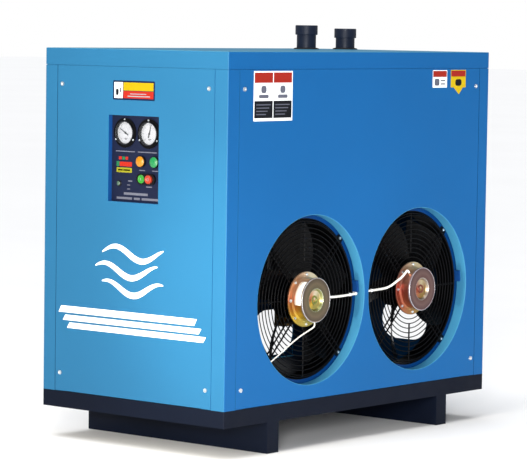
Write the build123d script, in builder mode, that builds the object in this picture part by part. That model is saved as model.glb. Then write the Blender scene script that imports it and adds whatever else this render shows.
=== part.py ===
"""Refrigerated air dryer: a sheet-metal cabinet on two skids, with two axial fans in its right side.

Millimetres. +Z is up, the control panel faces -Y and the fans face +X. The origin is on the floor,
at the middle of the cabinet's footprint.
"""

import os
from math import cos, radians, sin, sqrt, tan

from build123d import *

# --- cabinet ---------------------------------------------------------------------------------
WIDTH = 700
DEPTH = 1240
SKID_HEIGHT = 90
BASE_HEIGHT = 48
CABINET_HEIGHT = 1000
COVER_HEIGHT = 50
SHEET = 2
SEAM = 1.5
POST_WIDTH = 48
FLANGE_WIDTH = 36
BEND = 3
FIT = 0.3

DECK = SKID_HEIGHT + BASE_HEIGHT
TOP = DECK + CABINET_HEIGHT
COVER_BASE = TOP - COVER_HEIGHT
SIDE = WIDTH / 2
FACE = DEPTH / 2
FRONT_HALF = SIDE - POST_WIDTH - SEAM
FLANK_HALF = FACE - POST_WIDTH - SEAM
PANEL_LOW = DECK + SEAM
PANEL_HIGH = COVER_BASE
FOLD = 12
SCREW_INSET = 69
SCREW_LEVELS = (192, 1034)
SCREW_HOLE = 2.7

# --- skids -----------------------------------------------------------------------------------
SKID_THICK = 50
SKID_WALL = 4
SKID_OFFSET = 404
SKID_START = -345
BASE_WALL = 4
BOLT_STATIONS = (-280, -100, 100, 280)

# --- fans ------------------------------------------------------------------------------------
FAN_Z = 426
FAN_Y = {"front": -236, "rear": 275}
COLLAR_RADIUS = 245
COLLAR_DEPTH = 34
SHROUD_X = 314
THROAT_RADIUS = 230
THROAT_DEPTH = 64
FOOT_RADIUS = 237
LEAD_RADIUS = 3.5
EARTH_RADIUS = 2
BLADE_COUNT = 5
BLADE_START = {"front": 12, "rear": 36}
GUARD_RINGS = tuple(range(94, 221, 14))
RIM_RING = 226
MOTOR_FLANGE_RADIUS = 80
MOTOR_RADIUS = 60.5
MOTOR_SCREW_RADIUS = 72
SHAFT_RADIUS = 7.45

# --- control panel ---------------------------------------------------------------------------
WINDOW_X = (-98, 95)
WINDOW_Z = (703, 950)
RECESS_DEPTH = 15
PLATE_Y = -FACE + RECESS_DEPTH
GAUGE_Z = 900
GAUGE_X = {"left": -46.3, "right": 45}
NEEDLE_ANGLE = {"left": 150, "right": 74}
LAMP_Z = 820.5
LAMP_X = {"yellow": 17.5, "green": 70}
BUTTON_CENTRE = (38, 771)
BUTTON_SPACING = 31
LED_CENTRE = (-68, 755)
LENS_RADIUS = 14.7
LENS_SEAT = 5
LENS_SHOULDER = 9
DOME_RISE = 4.5
DOME_RADIUS = (LENS_RADIUS**2 + DOME_RISE**2) / (2 * DOME_RISE)

# --- air and refrigerant circuits ------------------------------------------------------------
PIPE_X = -170
PIPE_Y = {"inlet": 363, "outlet": 560}
PIPE_TOP = {"inlet": 1213, "outlet": 1204}
PIPE_RADIUS = 30.15
PIPE_BORE = 27.15
SOCKET_RADIUS = 35
SOCKET_BORE = 28.33
SOCKET_HEIGHT = 30
VESSEL_Z = 820
VESSEL_RADIUS = 120
VESSEL_WALL = 12
VESSEL_Y = (-120, 608)
SEPARATOR_Y = 270
DRAIN_Z = 296
COMPRESSOR = (-80, -350)
COIL_X = (-335, -280)
COIL_Y = (-540, 240)
COIL_Z = (150, 770)
DRIER = (-235, -560)
GLAND = (240, 640)


def block(x, y, z, mode=Mode.ADD):
    """A box between two limits on each axis."""
    with Locations((sum(x) / 2, sum(y) / 2, sum(z) / 2)):
        Box(x[1] - x[0], y[1] - y[0], z[1] - z[0], mode=mode)


def turned(outline, plane, axis, mode=Mode.ADD):
    """Revolve a closed outline drawn on a plane that holds the axis."""
    with BuildSketch(plane) as section:
        with BuildLine():
            Polyline(*outline, close=True)
        make_face()
    revolve(section.sketch, axis=axis, mode=mode)


def drilled(plane, places, radius, depth):
    """Cut equal round holes inwards from a plane."""
    with BuildSketch(plane) as holes:
        with Locations(*places):
            Circle(radius)
    extrude(holes.sketch, amount=-depth, mode=Mode.SUBTRACT)


def rounded_window(plane, across, up, corner, depth):
    """Cut a window with round corners inwards from a plane."""
    with BuildSketch(plane) as opening:
        with Locations((sum(across) / 2, sum(up) / 2)):
            RectangleRounded(across[1] - across[0], up[1] - up[0], corner)
    extrude(opening.sketch, amount=-depth, mode=Mode.SUBTRACT)


def soft_radii(route):
    """Bend radii as large as the runs of a route allow."""
    radii = []
    points = [Vector(*point) for point in route]
    for before, corner, after in zip(points, points[1:], points[2:]):
        run_in = corner - before
        run_out = after - corner
        turn = radians(run_in.get_angle(run_out))
        radii.append(0.45 * min(run_in.length, run_out.length) / tan(turn / 2))
    return radii


def tube(route, radii, outer, bore=0):
    """Sweep a round section along straight runs joined by arcs."""
    with BuildLine() as path:
        FilletPolyline(*route, radius=radii)
    with BuildSketch(Plane(origin=path.line @ 0, z_dir=path.line % 0)) as section:
        Circle(outer)
        if bore:
            Circle(bore, mode=Mode.SUBTRACT)
    sweep(section.sketch, path=path.line)


def finish(part, name):
    """Label a piece and write it as its own STEP file."""
    part.label = name
    export_step(part, f"parts/{name}.step")


os.makedirs("parts", exist_ok=True)

# === frame and skids =========================================================================

with BuildPart() as base_tray:
    block((-SIDE, SIDE), (-FACE, FACE), (SKID_HEIGHT, DECK))
    fillet(base_tray.edges().filter_by(Axis.Z), BEND)
    inner_x = (-SIDE + BASE_WALL, SIDE - BASE_WALL)
    block(inner_x, (-FACE + BASE_WALL, FACE - BASE_WALL), (SKID_HEIGHT, DECK - BASE_WALL), Mode.SUBTRACT)
    for skid_y in (-SKID_OFFSET, SKID_OFFSET):
        member = (skid_y - 35, skid_y + 35)
        hollow = (member[0] + BASE_WALL, member[1] - BASE_WALL)
        block(inner_x, member, (SKID_HEIGHT, DECK - BASE_WALL))
        block(inner_x, hollow, (SKID_HEIGHT + BASE_WALL, DECK - BASE_WALL), Mode.SUBTRACT)
        stations = [(x, skid_y) for x in BOLT_STATIONS]
        drilled(Plane.XY.offset(SKID_HEIGHT + BASE_WALL), stations, 6.5, BASE_WALL)
finish(base_tray.part, "base_tray")


def skid(skid_y):
    """A folded channel runner with closed ends, open towards the rear."""
    ends = (SKID_START, SIDE)
    with BuildPart() as runner:
        block(ends, (skid_y - SKID_THICK / 2, skid_y + SKID_THICK / 2), (0, SKID_HEIGHT))
        block(
            (ends[0] + SKID_WALL, ends[1] - SKID_WALL),
            (skid_y - SKID_THICK / 2 + SKID_WALL, skid_y + SKID_THICK / 2),
            (SKID_WALL, SKID_HEIGHT - SKID_WALL),
            Mode.SUBTRACT,
        )
        stations = [(x, skid_y) for x in BOLT_STATIONS]
        drilled(Plane.XY.offset(SKID_HEIGHT), stations, 6.5, SKID_WALL)
    return runner.part


finish(skid(-SKID_OFFSET), "skid_front")
finish(skid(SKID_OFFSET), "skid_rear")

with BuildPart() as skid_bolts:
    for skid_y in (-SKID_OFFSET, SKID_OFFSET):
        for x in BOLT_STATIONS:
            head_low = SKID_HEIGHT - SKID_WALL - 7.5
            nut_low = SKID_HEIGHT + BASE_WALL
            for low, height, hexagon in ((head_low, 7.5, True), (nut_low, 10, True), (head_low, 34, False)):
                with BuildSketch(Plane.XY.offset(low)):
                    with Locations((x, skid_y)):
                        if hexagon:
                            RegularPolygon(radius=9.5, side_count=6, major_radius=False)
                        else:
                            Circle(6)
                extrude(amount=height)
finish(skid_bolts.part, "skid_bolts")


def corner_post(sign_x, sign_y):
    """An angle post whose stepped flanges carry the panels from behind."""
    step = POST_WIDTH - SHEET
    flange_end = POST_WIDTH + FLANGE_WIDTH
    strips = (
        ((0, POST_WIDTH), (0, SHEET)),
        ((step, flange_end), (SHEET, 2 * SHEET)),
        ((0, SHEET), (0, POST_WIDTH)),
        ((SHEET, 2 * SHEET), (step, flange_end)),
    )
    with BuildPart() as post:
        for along_x, along_y in strips:
            x = sorted(sign_x * (SIDE - along) for along in along_x)
            y = sorted(sign_y * (FACE - along) for along in along_y)
            block(x, y, (DECK, COVER_BASE))
        corner = (sign_x * SIDE, sign_y * FACE, (DECK + COVER_BASE) / 2)
        upright = post.edges().filter_by(Axis.Z).sort_by_distance(corner)
        fillet(upright[1], BEND - SHEET)
        upright = post.edges().filter_by(Axis.Z).sort_by_distance(corner)
        fillet(upright[0], BEND)
        for level in SCREW_LEVELS:
            with Locations((sign_x * (SIDE - SCREW_INSET), sign_y * (FACE - 3), level)):
                Cylinder(SCREW_HOLE, 6, rotation=(90, 0, 0), mode=Mode.SUBTRACT)
            with Locations((sign_x * (SIDE - 3), sign_y * (FACE - SCREW_INSET), level)):
                Cylinder(SCREW_HOLE, 6, rotation=(0, 90, 0), mode=Mode.SUBTRACT)
    return post.part


for end, sign_y in (("front", -1), ("rear", 1)):
    for hand, sign_x in (("left", -1), ("right", 1)):
        finish(corner_post(sign_x, sign_y), f"post_{end}_{hand}")

with BuildPart() as top_frame:
    rail_x = SIDE - SHEET - FIT
    rail_y = FACE - SHEET - FIT
    rail_top = TOP - SHEET
    lip = 30
    block((-rail_x, rail_x), (-rail_y, rail_y), (COVER_BASE, rail_top))
    fillet(top_frame.edges().filter_by(Axis.Z), 2)
    block(
        (-rail_x + SHEET, rail_x - SHEET),
        (-rail_y + SHEET, rail_y - SHEET),
        (COVER_BASE, rail_top - SHEET),
        Mode.SUBTRACT,
    )
    block((-rail_x + lip, rail_x - lip), (-rail_y + lip, rail_y - lip), (COVER_BASE, rail_top), Mode.SUBTRACT)
    for pipe_y in PIPE_Y.values():
        with Locations((PIPE_X, pipe_y, rail_top)):
            Cylinder(42, 2 * COVER_HEIGHT, mode=Mode.SUBTRACT)
finish(top_frame.part, "top_frame")

with BuildPart() as top_cover:
    block((-SIDE, SIDE), (-FACE, FACE), (COVER_BASE + SEAM, TOP))
    fillet(top_cover.edges().filter_by(Axis.Z), BEND)
    fillet(top_cover.faces().sort_by(Axis.Z)[-1].edges(), BEND - 0.5)
    block(
        (-SIDE + SHEET, SIDE - SHEET),
        (-FACE + SHEET, FACE - SHEET),
        (COVER_BASE, TOP - SHEET),
        Mode.SUBTRACT,
    )
    pipe_places = [(PIPE_X, pipe_y) for pipe_y in PIPE_Y.values()]
    drilled(Plane.XY.offset(TOP), pipe_places, 36, SHEET + 1)
finish(top_cover.part, "top_cover")

with BuildPart() as pipe_grommets:
    for pipe_y in PIPE_Y.values():
        section = Plane(origin=(PIPE_X, pipe_y, 0), x_dir=(1, 0, 0), z_dir=(0, -1, 0))
        outline = (
            (PIPE_RADIUS + FIT, TOP - 5),
            (35.7, TOP - 5),
            (35.7, TOP),
            (40, TOP),
            (39, TOP + 3),
            (PIPE_RADIUS + FIT + 1, TOP + 5),
            (PIPE_RADIUS + FIT, TOP + 5),
        )
        turned(outline, section, Axis((PIPE_X, pipe_y, 0), (0, 0, 1)))
finish(pipe_grommets.part, "pipe_grommets")

# === panels ==================================================================================


def end_panel(sign):
    """A flat front or rear panel with folded top and bottom edges."""
    outer = sign * FACE
    inner = sign * (FACE - SHEET)
    fold_end = sign * (FACE - SHEET - FOLD)
    fold_half = SIDE - POST_WIDTH - FLANGE_WIDTH - SHEET
    block((-FRONT_HALF, FRONT_HALF), sorted((outer, inner)), (PANEL_LOW, PANEL_HIGH))
    fold_y = sorted((inner, fold_end))
    block((-fold_half, fold_half), fold_y, (PANEL_LOW, PANEL_LOW + SHEET))
    block((-fold_half, fold_half), fold_y, (PANEL_HIGH - SHEET, PANEL_HIGH))
    for level in SCREW_LEVELS:
        for x in (-SIDE + SCREW_INSET, SIDE - SCREW_INSET):
            with Locations((x, outer, level)):
                Cylinder(SCREW_HOLE, 3 * SHEET, rotation=(90, 0, 0), mode=Mode.SUBTRACT)


def flank_panel(sign):
    """A flat left or right panel with folded top and bottom edges."""
    outer = sign * SIDE
    inner = sign * (SIDE - SHEET)
    fold_end = sign * (SIDE - SHEET - FOLD)
    fold_half = FACE - POST_WIDTH - FLANGE_WIDTH - SHEET
    block(sorted((outer, inner)), (-FLANK_HALF, FLANK_HALF), (PANEL_LOW, PANEL_HIGH))
    fold_x = sorted((inner, fold_end))
    block(fold_x, (-fold_half, fold_half), (PANEL_LOW, PANEL_LOW + SHEET))
    block(fold_x, (-fold_half, fold_half), (PANEL_HIGH - SHEET, PANEL_HIGH))
    for level in SCREW_LEVELS:
        for y in (-FACE + SCREW_INSET, FACE - SCREW_INSET):
            with Locations((outer, y, level)):
                Cylinder(SCREW_HOLE, 3 * SHEET, rotation=(0, 90, 0), mode=Mode.SUBTRACT)


with BuildPart() as front_panel:
    end_panel(-1)
    block(WINDOW_X, (-FACE - 1, -FACE + SHEET + 1), WINDOW_Z, Mode.SUBTRACT)
finish(front_panel.part, "front_panel")

with BuildPart() as right_panel:
    flank_panel(1)
    fan_places = [(fan_y, FAN_Z) for fan_y in FAN_Y.values()]
    with BuildSketch(Plane.YZ.offset(SIDE - COLLAR_DEPTH)):
        with Locations(*fan_places):
            Circle(COLLAR_RADIUS + SHEET)
    extrude(amount=COLLAR_DEPTH - SHEET)
    drilled(Plane.YZ.offset(SIDE), fan_places, COLLAR_RADIUS, COLLAR_DEPTH)
    mouths = right_panel.edges().filter_by(GeomType.CIRCLE).group_by(Axis.X)[-1]
    fillet(mouths.filter_by(lambda edge: edge.radius > 200), 1.5)
finish(right_panel.part, "right_panel")

COIL_WINDOW = ((-535, 235), (160, 760))
VENT_WINDOW = ((330, 537), (150, 298))
VENT_CORNER = 70
with BuildPart() as left_panel:
    flank_panel(-1)
    block((-SIDE - 1, -SIDE + SHEET + 1), *COIL_WINDOW, Mode.SUBTRACT)
    rounded_window(Plane.YZ.offset(-SIDE), *VENT_WINDOW, VENT_CORNER, -SHEET - 1)
finish(left_panel.part, "left_panel")

REAR_WINDOW = ((-45, 130), (222, 345))
REAR_CORNER = 55
with BuildPart() as rear_panel:
    end_panel(1)
    rounded_window(Plane.XZ.offset(-FACE), *REAR_WINDOW, REAR_CORNER, -SHEET - 1)
    drilled(Plane.XZ.offset(-FACE), [(PIPE_X, DRAIN_Z), GLAND], 10.3, -SHEET - 1)
finish(rear_panel.part, "rear_panel")

with BuildPart() as left_intake_guard:
    guard_x = -SIDE - 3
    (guard_front, guard_rear), (guard_low, guard_high) = COIL_WINDOW
    middle_y = (guard_front + guard_rear) / 2
    guard_length = guard_rear - guard_front + 16
    guard_height = guard_high - guard_low + 16
    frame_low = guard_low - 5
    frame_high = guard_high + 5
    for z in (frame_low, frame_high):
        with Locations((guard_x, middle_y, z)):
            Cylinder(3, guard_length, rotation=(90, 0, 0))
    for y in (guard_front - 5, middle_y, guard_rear + 5):
        with Locations((guard_x, y, (guard_low + guard_high) / 2)):
            Cylinder(3, guard_height)
    wire_count = 14
    for wire in range(1, wire_count):
        z = frame_low + (frame_high - frame_low) * wire / wire_count
        with Locations((guard_x - 3.5, middle_y, z)):
            Cylinder(1.5, guard_length, rotation=(90, 0, 0))
finish(left_intake_guard.part, "left_intake_guard")


def pan_screw(place, outward, head, head_height, shank, length):
    """A pan-head screw with a cross recess, its head standing on the given place."""
    seat = Plane(origin=place, z_dir=outward)
    with BuildSketch(seat) as head_disc:
        Circle(head)
    extrude(head_disc.sketch, amount=head_height, taper=12)
    with BuildSketch(seat) as shank_disc:
        Circle(shank)
    extrude(shank_disc.sketch, amount=-length)
    with BuildSketch(seat.offset(head_height)) as cross:
        Rectangle(head * 1.1, head * 0.26)
        Rectangle(head * 0.26, head * 1.1)
    extrude(cross.sketch, amount=-head_height * 0.55, mode=Mode.SUBTRACT)


with BuildPart() as panel_screws:
    for level in SCREW_LEVELS:
        for sign_x in (-1, 1):
            for sign_y in (-1, 1):
                x = sign_x * (SIDE - SCREW_INSET)
                y = sign_y * (FACE - SCREW_INSET)
                pan_screw((x, sign_y * FACE, level), (0, sign_y, 0), 6.5, 3, 2.4, 8)
                pan_screw((sign_x * SIDE, y, level), (sign_x, 0, 0), 6.5, 3, 2.4, 8)
    for gauge_x in GAUGE_X.values():
        for angle in (90, 210, 330):
            spot = (gauge_x + 38.4 * cos(radians(angle)), PLATE_Y - 3, GAUGE_Z + 38.4 * sin(radians(angle)))
            pan_screw(spot, (0, -1, 0), 2.9, 1.8, 1.4, 7)
finish(panel_screws.part, "panel_screws")

# === control panel ===========================================================================

with BuildPart() as instrument_recess:
    for grow, low, high in ((SHEET + FOLD, SHEET, 2 * SHEET), (SHEET, SHEET, RECESS_DEPTH + 2 * SHEET)):
        block(
            (WINDOW_X[0] - grow, WINDOW_X[1] + grow),
            (-FACE + low, -FACE + high),
            (WINDOW_Z[0] - grow, WINDOW_Z[1] + grow),
        )
    block(WINDOW_X, (-FACE + SHEET, PLATE_Y + SHEET), WINDOW_Z, Mode.SUBTRACT)
    block(
        (WINDOW_X[0] + 8, WINDOW_X[1] - 8),
        (-FACE + SHEET, PLATE_Y + 2 * SHEET),
        (WINDOW_Z[0] + 8, WINDOW_Z[1] - 8),
        Mode.SUBTRACT,
    )
finish(instrument_recess.part, "instrument_recess")

BUTTON_X = {
    "start": BUTTON_CENTRE[0] - BUTTON_SPACING / 2,
    "stop": BUTTON_CENTRE[0] + BUTTON_SPACING / 2,
}
BUTTON_Z = BUTTON_CENTRE[1]
BARREL = 11
STEM = 5

with BuildPart() as instrument_plate:
    block(
        (WINDOW_X[0] + FIT, WINDOW_X[1] - FIT),
        (PLATE_Y, PLATE_Y + SHEET),
        (WINDOW_Z[0] + FIT, WINDOW_Z[1] - FIT),
    )
    for radius, places in (
        (33, [(x, GAUGE_Z) for x in GAUGE_X.values()]),
        (BARREL + FIT, [(x, LAMP_Z) for x in LAMP_X.values()] + [(x, BUTTON_Z) for x in BUTTON_X.values()]),
        (3.3, [LED_CENTRE]),
    ):
        drilled(Plane.XZ.offset(-PLATE_Y), places, radius, SHEET)
    for gauge_x in GAUGE_X.values():
        rim = [
            (gauge_x + 38.4 * cos(radians(a)), GAUGE_Z + 38.4 * sin(radians(a))) for a in (90, 210, 330)
        ]
        drilled(Plane.XZ.offset(-PLATE_Y), rim, 1.6, SHEET)
finish(instrument_plate.part, "instrument_plate")


def facing(x, z):
    """The half-plane and axis for a piece turned about a line square to the control panel."""
    plane = Plane(origin=(x, 0, z), x_dir=(1, 0, 0), z_dir=(0, 0, 1))
    return plane, Axis((x, 0, z), (0, 1, 0))


with BuildPart() as gauge_cases:
    for gauge_x in GAUGE_X.values():
        front = PLATE_Y - 6.5
        outline = (
            (31.5, front),
            (34.2, front),
            (35.4, front + 1.2),
            (35.4, PLATE_Y - 3),
            (42.5, PLATE_Y - 3),
            (42.5, PLATE_Y),
            (32.5, PLATE_Y),
            (32.5, PLATE_Y + 28),
            (5, PLATE_Y + 28),
            (5, PLATE_Y + 43),
            (0, PLATE_Y + 43),
            (0, PLATE_Y + 25),
            (29, PLATE_Y + 25),
            (29, PLATE_Y + 3),
            (31.5, PLATE_Y + 3),
        )
        turned(outline, *facing(gauge_x, GAUGE_Z))
        for angle in (90, 210, 330):
            spot = (gauge_x + 38.4 * cos(radians(angle)), GAUGE_Z + 38.4 * sin(radians(angle)))
            drilled(Plane.XZ.offset(-PLATE_Y + 3), [spot], 1.6, 3)
finish(gauge_cases.part, "gauge_cases")

with BuildPart() as gauge_dials:
    for gauge_x in GAUGE_X.values():
        dial = ((1.06, PLATE_Y + 2), (31.2, PLATE_Y + 2), (31.2, PLATE_Y + 3), (1.06, PLATE_Y + 3))
        turned(dial, *facing(gauge_x, GAUGE_Z))
finish(gauge_dials.part, "gauge_dials")

with BuildPart() as gauge_lenses:
    for gauge_x in GAUGE_X.values():
        lens = ((0, PLATE_Y - 6), (31.2, PLATE_Y - 5.2), (31.2, PLATE_Y - 3.6), (0, PLATE_Y - 4.4))
        turned(lens, *facing(gauge_x, GAUGE_Z))
finish(gauge_lenses.part, "gauge_lenses")


def gauge_pointer(gauge_x, angle):
    """A tapered pointer on an arbor that runs in the dial's centre hole."""
    across = Vector(-sin(radians(angle)), cos(radians(angle)))
    along = Vector(cos(radians(angle)), sin(radians(angle)))
    hub = Vector(gauge_x, GAUGE_Z)
    outline = ((-12, -1.7), (26, -0.5), (26, 0.5), (-12, 1.7))
    corners = [hub + along * reach + across * half for reach, half in outline]
    with BuildPart() as pointer:
        with BuildSketch(Plane.XZ.offset(-PLATE_Y + 1)):
            with BuildLine():
                Polyline(*[(corner.X, corner.Y) for corner in corners], close=True)
            make_face()
            with Locations((gauge_x, GAUGE_Z)):
                Circle(3.2)
        extrude(amount=-0.9)
        with BuildSketch(Plane.XZ.offset(-PLATE_Y + 1.8)):
            with Locations((gauge_x, GAUGE_Z)):
                Circle(1)
        extrude(amount=-9)
    return pointer.part


for hand, gauge_x in GAUGE_X.items():
    finish(gauge_pointer(gauge_x, NEEDLE_ANGLE[hand]), f"gauge_pointer_{hand}")

with BuildPart() as lamp_bodies:
    for lamp_x in LAMP_X.values():
        outline = (
            (0, PLATE_Y + 38),
            (BARREL, PLATE_Y + 38),
            (BARREL, PLATE_Y),
            (16.5, PLATE_Y),
            (16.5, PLATE_Y - 6.6),
            (15.9, PLATE_Y - 7.2),
            (15, PLATE_Y - 7.2),
            (15, PLATE_Y - 5),
            (0, PLATE_Y - 5),
        )
        turned(outline, *facing(lamp_x, LAMP_Z))
    led = (
        (0, PLATE_Y + 12),
        (3, PLATE_Y + 12),
        (3, PLATE_Y),
        (8.6, PLATE_Y),
        (8.6, PLATE_Y - 1.2),
        (6.2, PLATE_Y - 3.2),
        (0, PLATE_Y - 4),
    )
    turned(led, *facing(*LED_CENTRE))
finish(lamp_bodies.part, "lamp_bodies")


def lamp_lens(lamp_x):
    """A round lens with a shallow domed face, standing in its lamp's bezel."""
    plane, axis = facing(lamp_x, LAMP_Z)
    apex = PLATE_Y - LENS_SHOULDER - DOME_RISE
    half_way = (LENS_RADIUS / 2, apex + DOME_RADIUS - sqrt(DOME_RADIUS**2 - LENS_RADIUS**2 / 4))
    shoulder = (LENS_RADIUS, PLATE_Y - LENS_SHOULDER)
    seat_y = PLATE_Y - LENS_SEAT
    with BuildPart() as lens:
        with BuildSketch(plane) as section:
            with BuildLine():
                Polyline((0, apex), (0, seat_y), (LENS_RADIUS, seat_y), shoulder)
                ThreePointArc(shoulder, half_way, (0, apex))
            make_face()
        revolve(section.sketch, axis=axis)
    return lens.part


for colour, lamp_x in LAMP_X.items():
    finish(lamp_lens(lamp_x), f"{colour}_lamp_lens")

BORE_FLOOR = PLATE_Y - 0.5
HOUSING_FRONT = PLATE_Y - 8
with BuildPart() as button_housing:
    with BuildSketch(Plane.XZ.offset(-PLATE_Y)):
        with Locations(BUTTON_CENTRE):
            SlotOverall(70, 31)
    extrude(amount=-(HOUSING_FRONT - PLATE_Y))
    rim = button_housing.faces().sort_by(Axis.Y)[0].edges()
    fillet(rim, 1.5)
    for button_x in BUTTON_X.values():
        with BuildSketch(Plane.XZ.offset(-PLATE_Y)):
            with Locations((button_x, BUTTON_Z)):
                Circle(BARREL)
        extrude(amount=-40)
        drilled(Plane.XZ.offset(-HOUSING_FRONT), [(button_x, BUTTON_Z)], 12.5, BORE_FLOOR - HOUSING_FRONT)
        drilled(Plane.XZ.offset(-HOUSING_FRONT), [(button_x, BUTTON_Z)], STEM + 0.06, 48.5)
finish(button_housing.part, "button_housing")


def push_button(button_x, proud):
    """A round cap on a stem that slides in the housing."""
    back = PLATE_Y - 5
    front = HOUSING_FRONT - proud
    outline = (
        (0, back + 28),
        (STEM, back + 28),
        (STEM, back),
        (12.2, back),
        (12.2, front + 1.2),
        (11.2, front),
        (8, front),
        (7, front + 0.6),
        (0, front + 0.6),
    )
    with BuildPart() as cap:
        turned(outline, *facing(button_x, BUTTON_Z))
    return cap.part


finish(push_button(BUTTON_X["start"], 1.5), "start_button")
finish(push_button(BUTTON_X["stop"], 6.5), "stop_button")

# === compressed-air circuit ==================================================================


def upright_section(x, y):
    """The half-plane and axis for a piece turned about a vertical line."""
    return Plane(origin=(x, y, 0), x_dir=(1, 0, 0), z_dir=(0, -1, 0)), Axis((x, y, 0), (0, 0, 1))


VESSEL_ENTRY = VESSEL_Z + 95


def air_pipe(pipe_y, top):
    """A vertical connection pipe from the exchanger to its socket."""
    with BuildPart() as pipe:
        with BuildSketch(Plane.XY.offset(VESSEL_ENTRY)):
            with Locations((PIPE_X, pipe_y)):
                Circle(PIPE_RADIUS)
                Circle(PIPE_BORE, mode=Mode.SUBTRACT)
        extrude(amount=top - SOCKET_HEIGHT - VESSEL_ENTRY)
    return pipe.part


for port, pipe_y in PIPE_Y.items():
    finish(air_pipe(pipe_y, PIPE_TOP[port]), f"air_{port}_pipe")

with BuildPart() as pipe_sockets:
    for port, pipe_y in PIPE_Y.items():
        top = PIPE_TOP[port]
        outline = (
            (SOCKET_BORE, top - SOCKET_HEIGHT),
            (SOCKET_RADIUS - 1.5, top - SOCKET_HEIGHT),
            (SOCKET_RADIUS, top - SOCKET_HEIGHT + 1.5),
            (SOCKET_RADIUS, top - 1.5),
            (SOCKET_RADIUS - 1.5, top),
            (SOCKET_BORE, top),
        )
        turned(outline, *upright_section(PIPE_X, pipe_y))
finish(pipe_sockets.part, "pipe_sockets")

with BuildPart() as heat_exchanger:
    with BuildSketch(Plane.XZ.offset(-VESSEL_Y[0])):
        with Locations((PIPE_X, VESSEL_Z)):
            Circle(VESSEL_RADIUS)
    extrude(amount=-(VESSEL_Y[1] - VESSEL_Y[0]))
    fillet(heat_exchanger.edges().filter_by(GeomType.CIRCLE), 24)
    for saddle_y in (-60, 450):
        block((PIPE_X - 60, PIPE_X + 60), (saddle_y - 3, saddle_y + 3), (DECK, VESSEL_Z - 100))
        block((PIPE_X - 60, PIPE_X + 60), (saddle_y - 3, saddle_y + 37), (DECK, DECK + 5))
        with Locations((PIPE_X, saddle_y, DRAIN_Z)):
            Cylinder(9, 10, rotation=(90, 0, 0), mode=Mode.SUBTRACT)
    with BuildSketch(Plane.XZ.offset(-VESSEL_Y[0] - VESSEL_WALL)):
        with Locations((PIPE_X, VESSEL_Z)):
            Circle(VESSEL_RADIUS - VESSEL_WALL)
    extrude(amount=-(VESSEL_Y[1] - VESSEL_Y[0] - 2 * VESSEL_WALL), mode=Mode.SUBTRACT)
    drilled(Plane.XY.offset(VESSEL_Z + VESSEL_RADIUS), pipe_places, PIPE_RADIUS + FIT, VESSEL_RADIUS)
    drilled(Plane.XY.offset(VESSEL_Z), [(PIPE_X, SEPARATOR_Y)], 20 + FIT, VESSEL_RADIUS)
finish(heat_exchanger.part, "heat_exchanger")

with BuildPart() as water_separator:
    outline = (
        (0, 334),
        (18, 334),
        (42, 340),
        (54, 356),
        (55, 368),
        (55, 610),
        (62, 610),
        (62, 630),
        (40, 640),
        (20, 642),
        (20, VESSEL_Z - VESSEL_RADIUS + 6),
        (14, VESSEL_Z - VESSEL_RADIUS + 6),
        (14, 636),
        (38, 632),
        (49, 620),
        (49, 368),
        (44, 352),
        (0, 344),
    )
    turned(outline, *upright_section(PIPE_X, SEPARATOR_Y))
finish(water_separator.part, "water_separator")

VALVE_Z = (272, 334)
with BuildPart() as drain_valve:
    block((PIPE_X - 20, PIPE_X + 20), (SEPARATOR_Y - 20, SEPARATOR_Y + 20), (VALVE_Z[0], VALVE_Z[1] - 12))
    with Locations((PIPE_X, SEPARATOR_Y, VALVE_Z[1] - 6)):
        Cylinder(12, 12)
    with Locations((PIPE_X + 42, SEPARATOR_Y, VALVE_Z[0] + 24)):
        Cylinder(16, 44, rotation=(0, 90, 0))
finish(drain_valve.part, "drain_valve")

with BuildPart() as drain_line:
    with BuildSketch(Plane.XZ.offset(-SEPARATOR_Y - 20)):
        with Locations((PIPE_X, DRAIN_Z)):
            Circle(5)
            Circle(3.5, mode=Mode.SUBTRACT)
    extrude(amount=-(FACE - 22 - SEPARATOR_Y - 20))
    outline = (
        (7.5, FACE - 20),
        (10, FACE - 20),
        (10, FACE - 12),
        (13, FACE - 12),
        (13, FACE - SHEET),
        (10, FACE - SHEET),
        (10, FACE),
        (13, FACE),
        (13, FACE + 6),
        (12, FACE + 8),
        (7.5, FACE + 8),
    )
    turned(outline, *facing(PIPE_X, DRAIN_Z))
    with Locations((PIPE_X, FACE - 20.5, DRAIN_Z)):
        Cylinder(10, 3, rotation=(90, 0, 0))
        Cylinder(3.5, 3, rotation=(90, 0, 0), mode=Mode.SUBTRACT)
finish(drain_line.part, "drain_line")

# === refrigerant circuit =====================================================================

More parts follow.
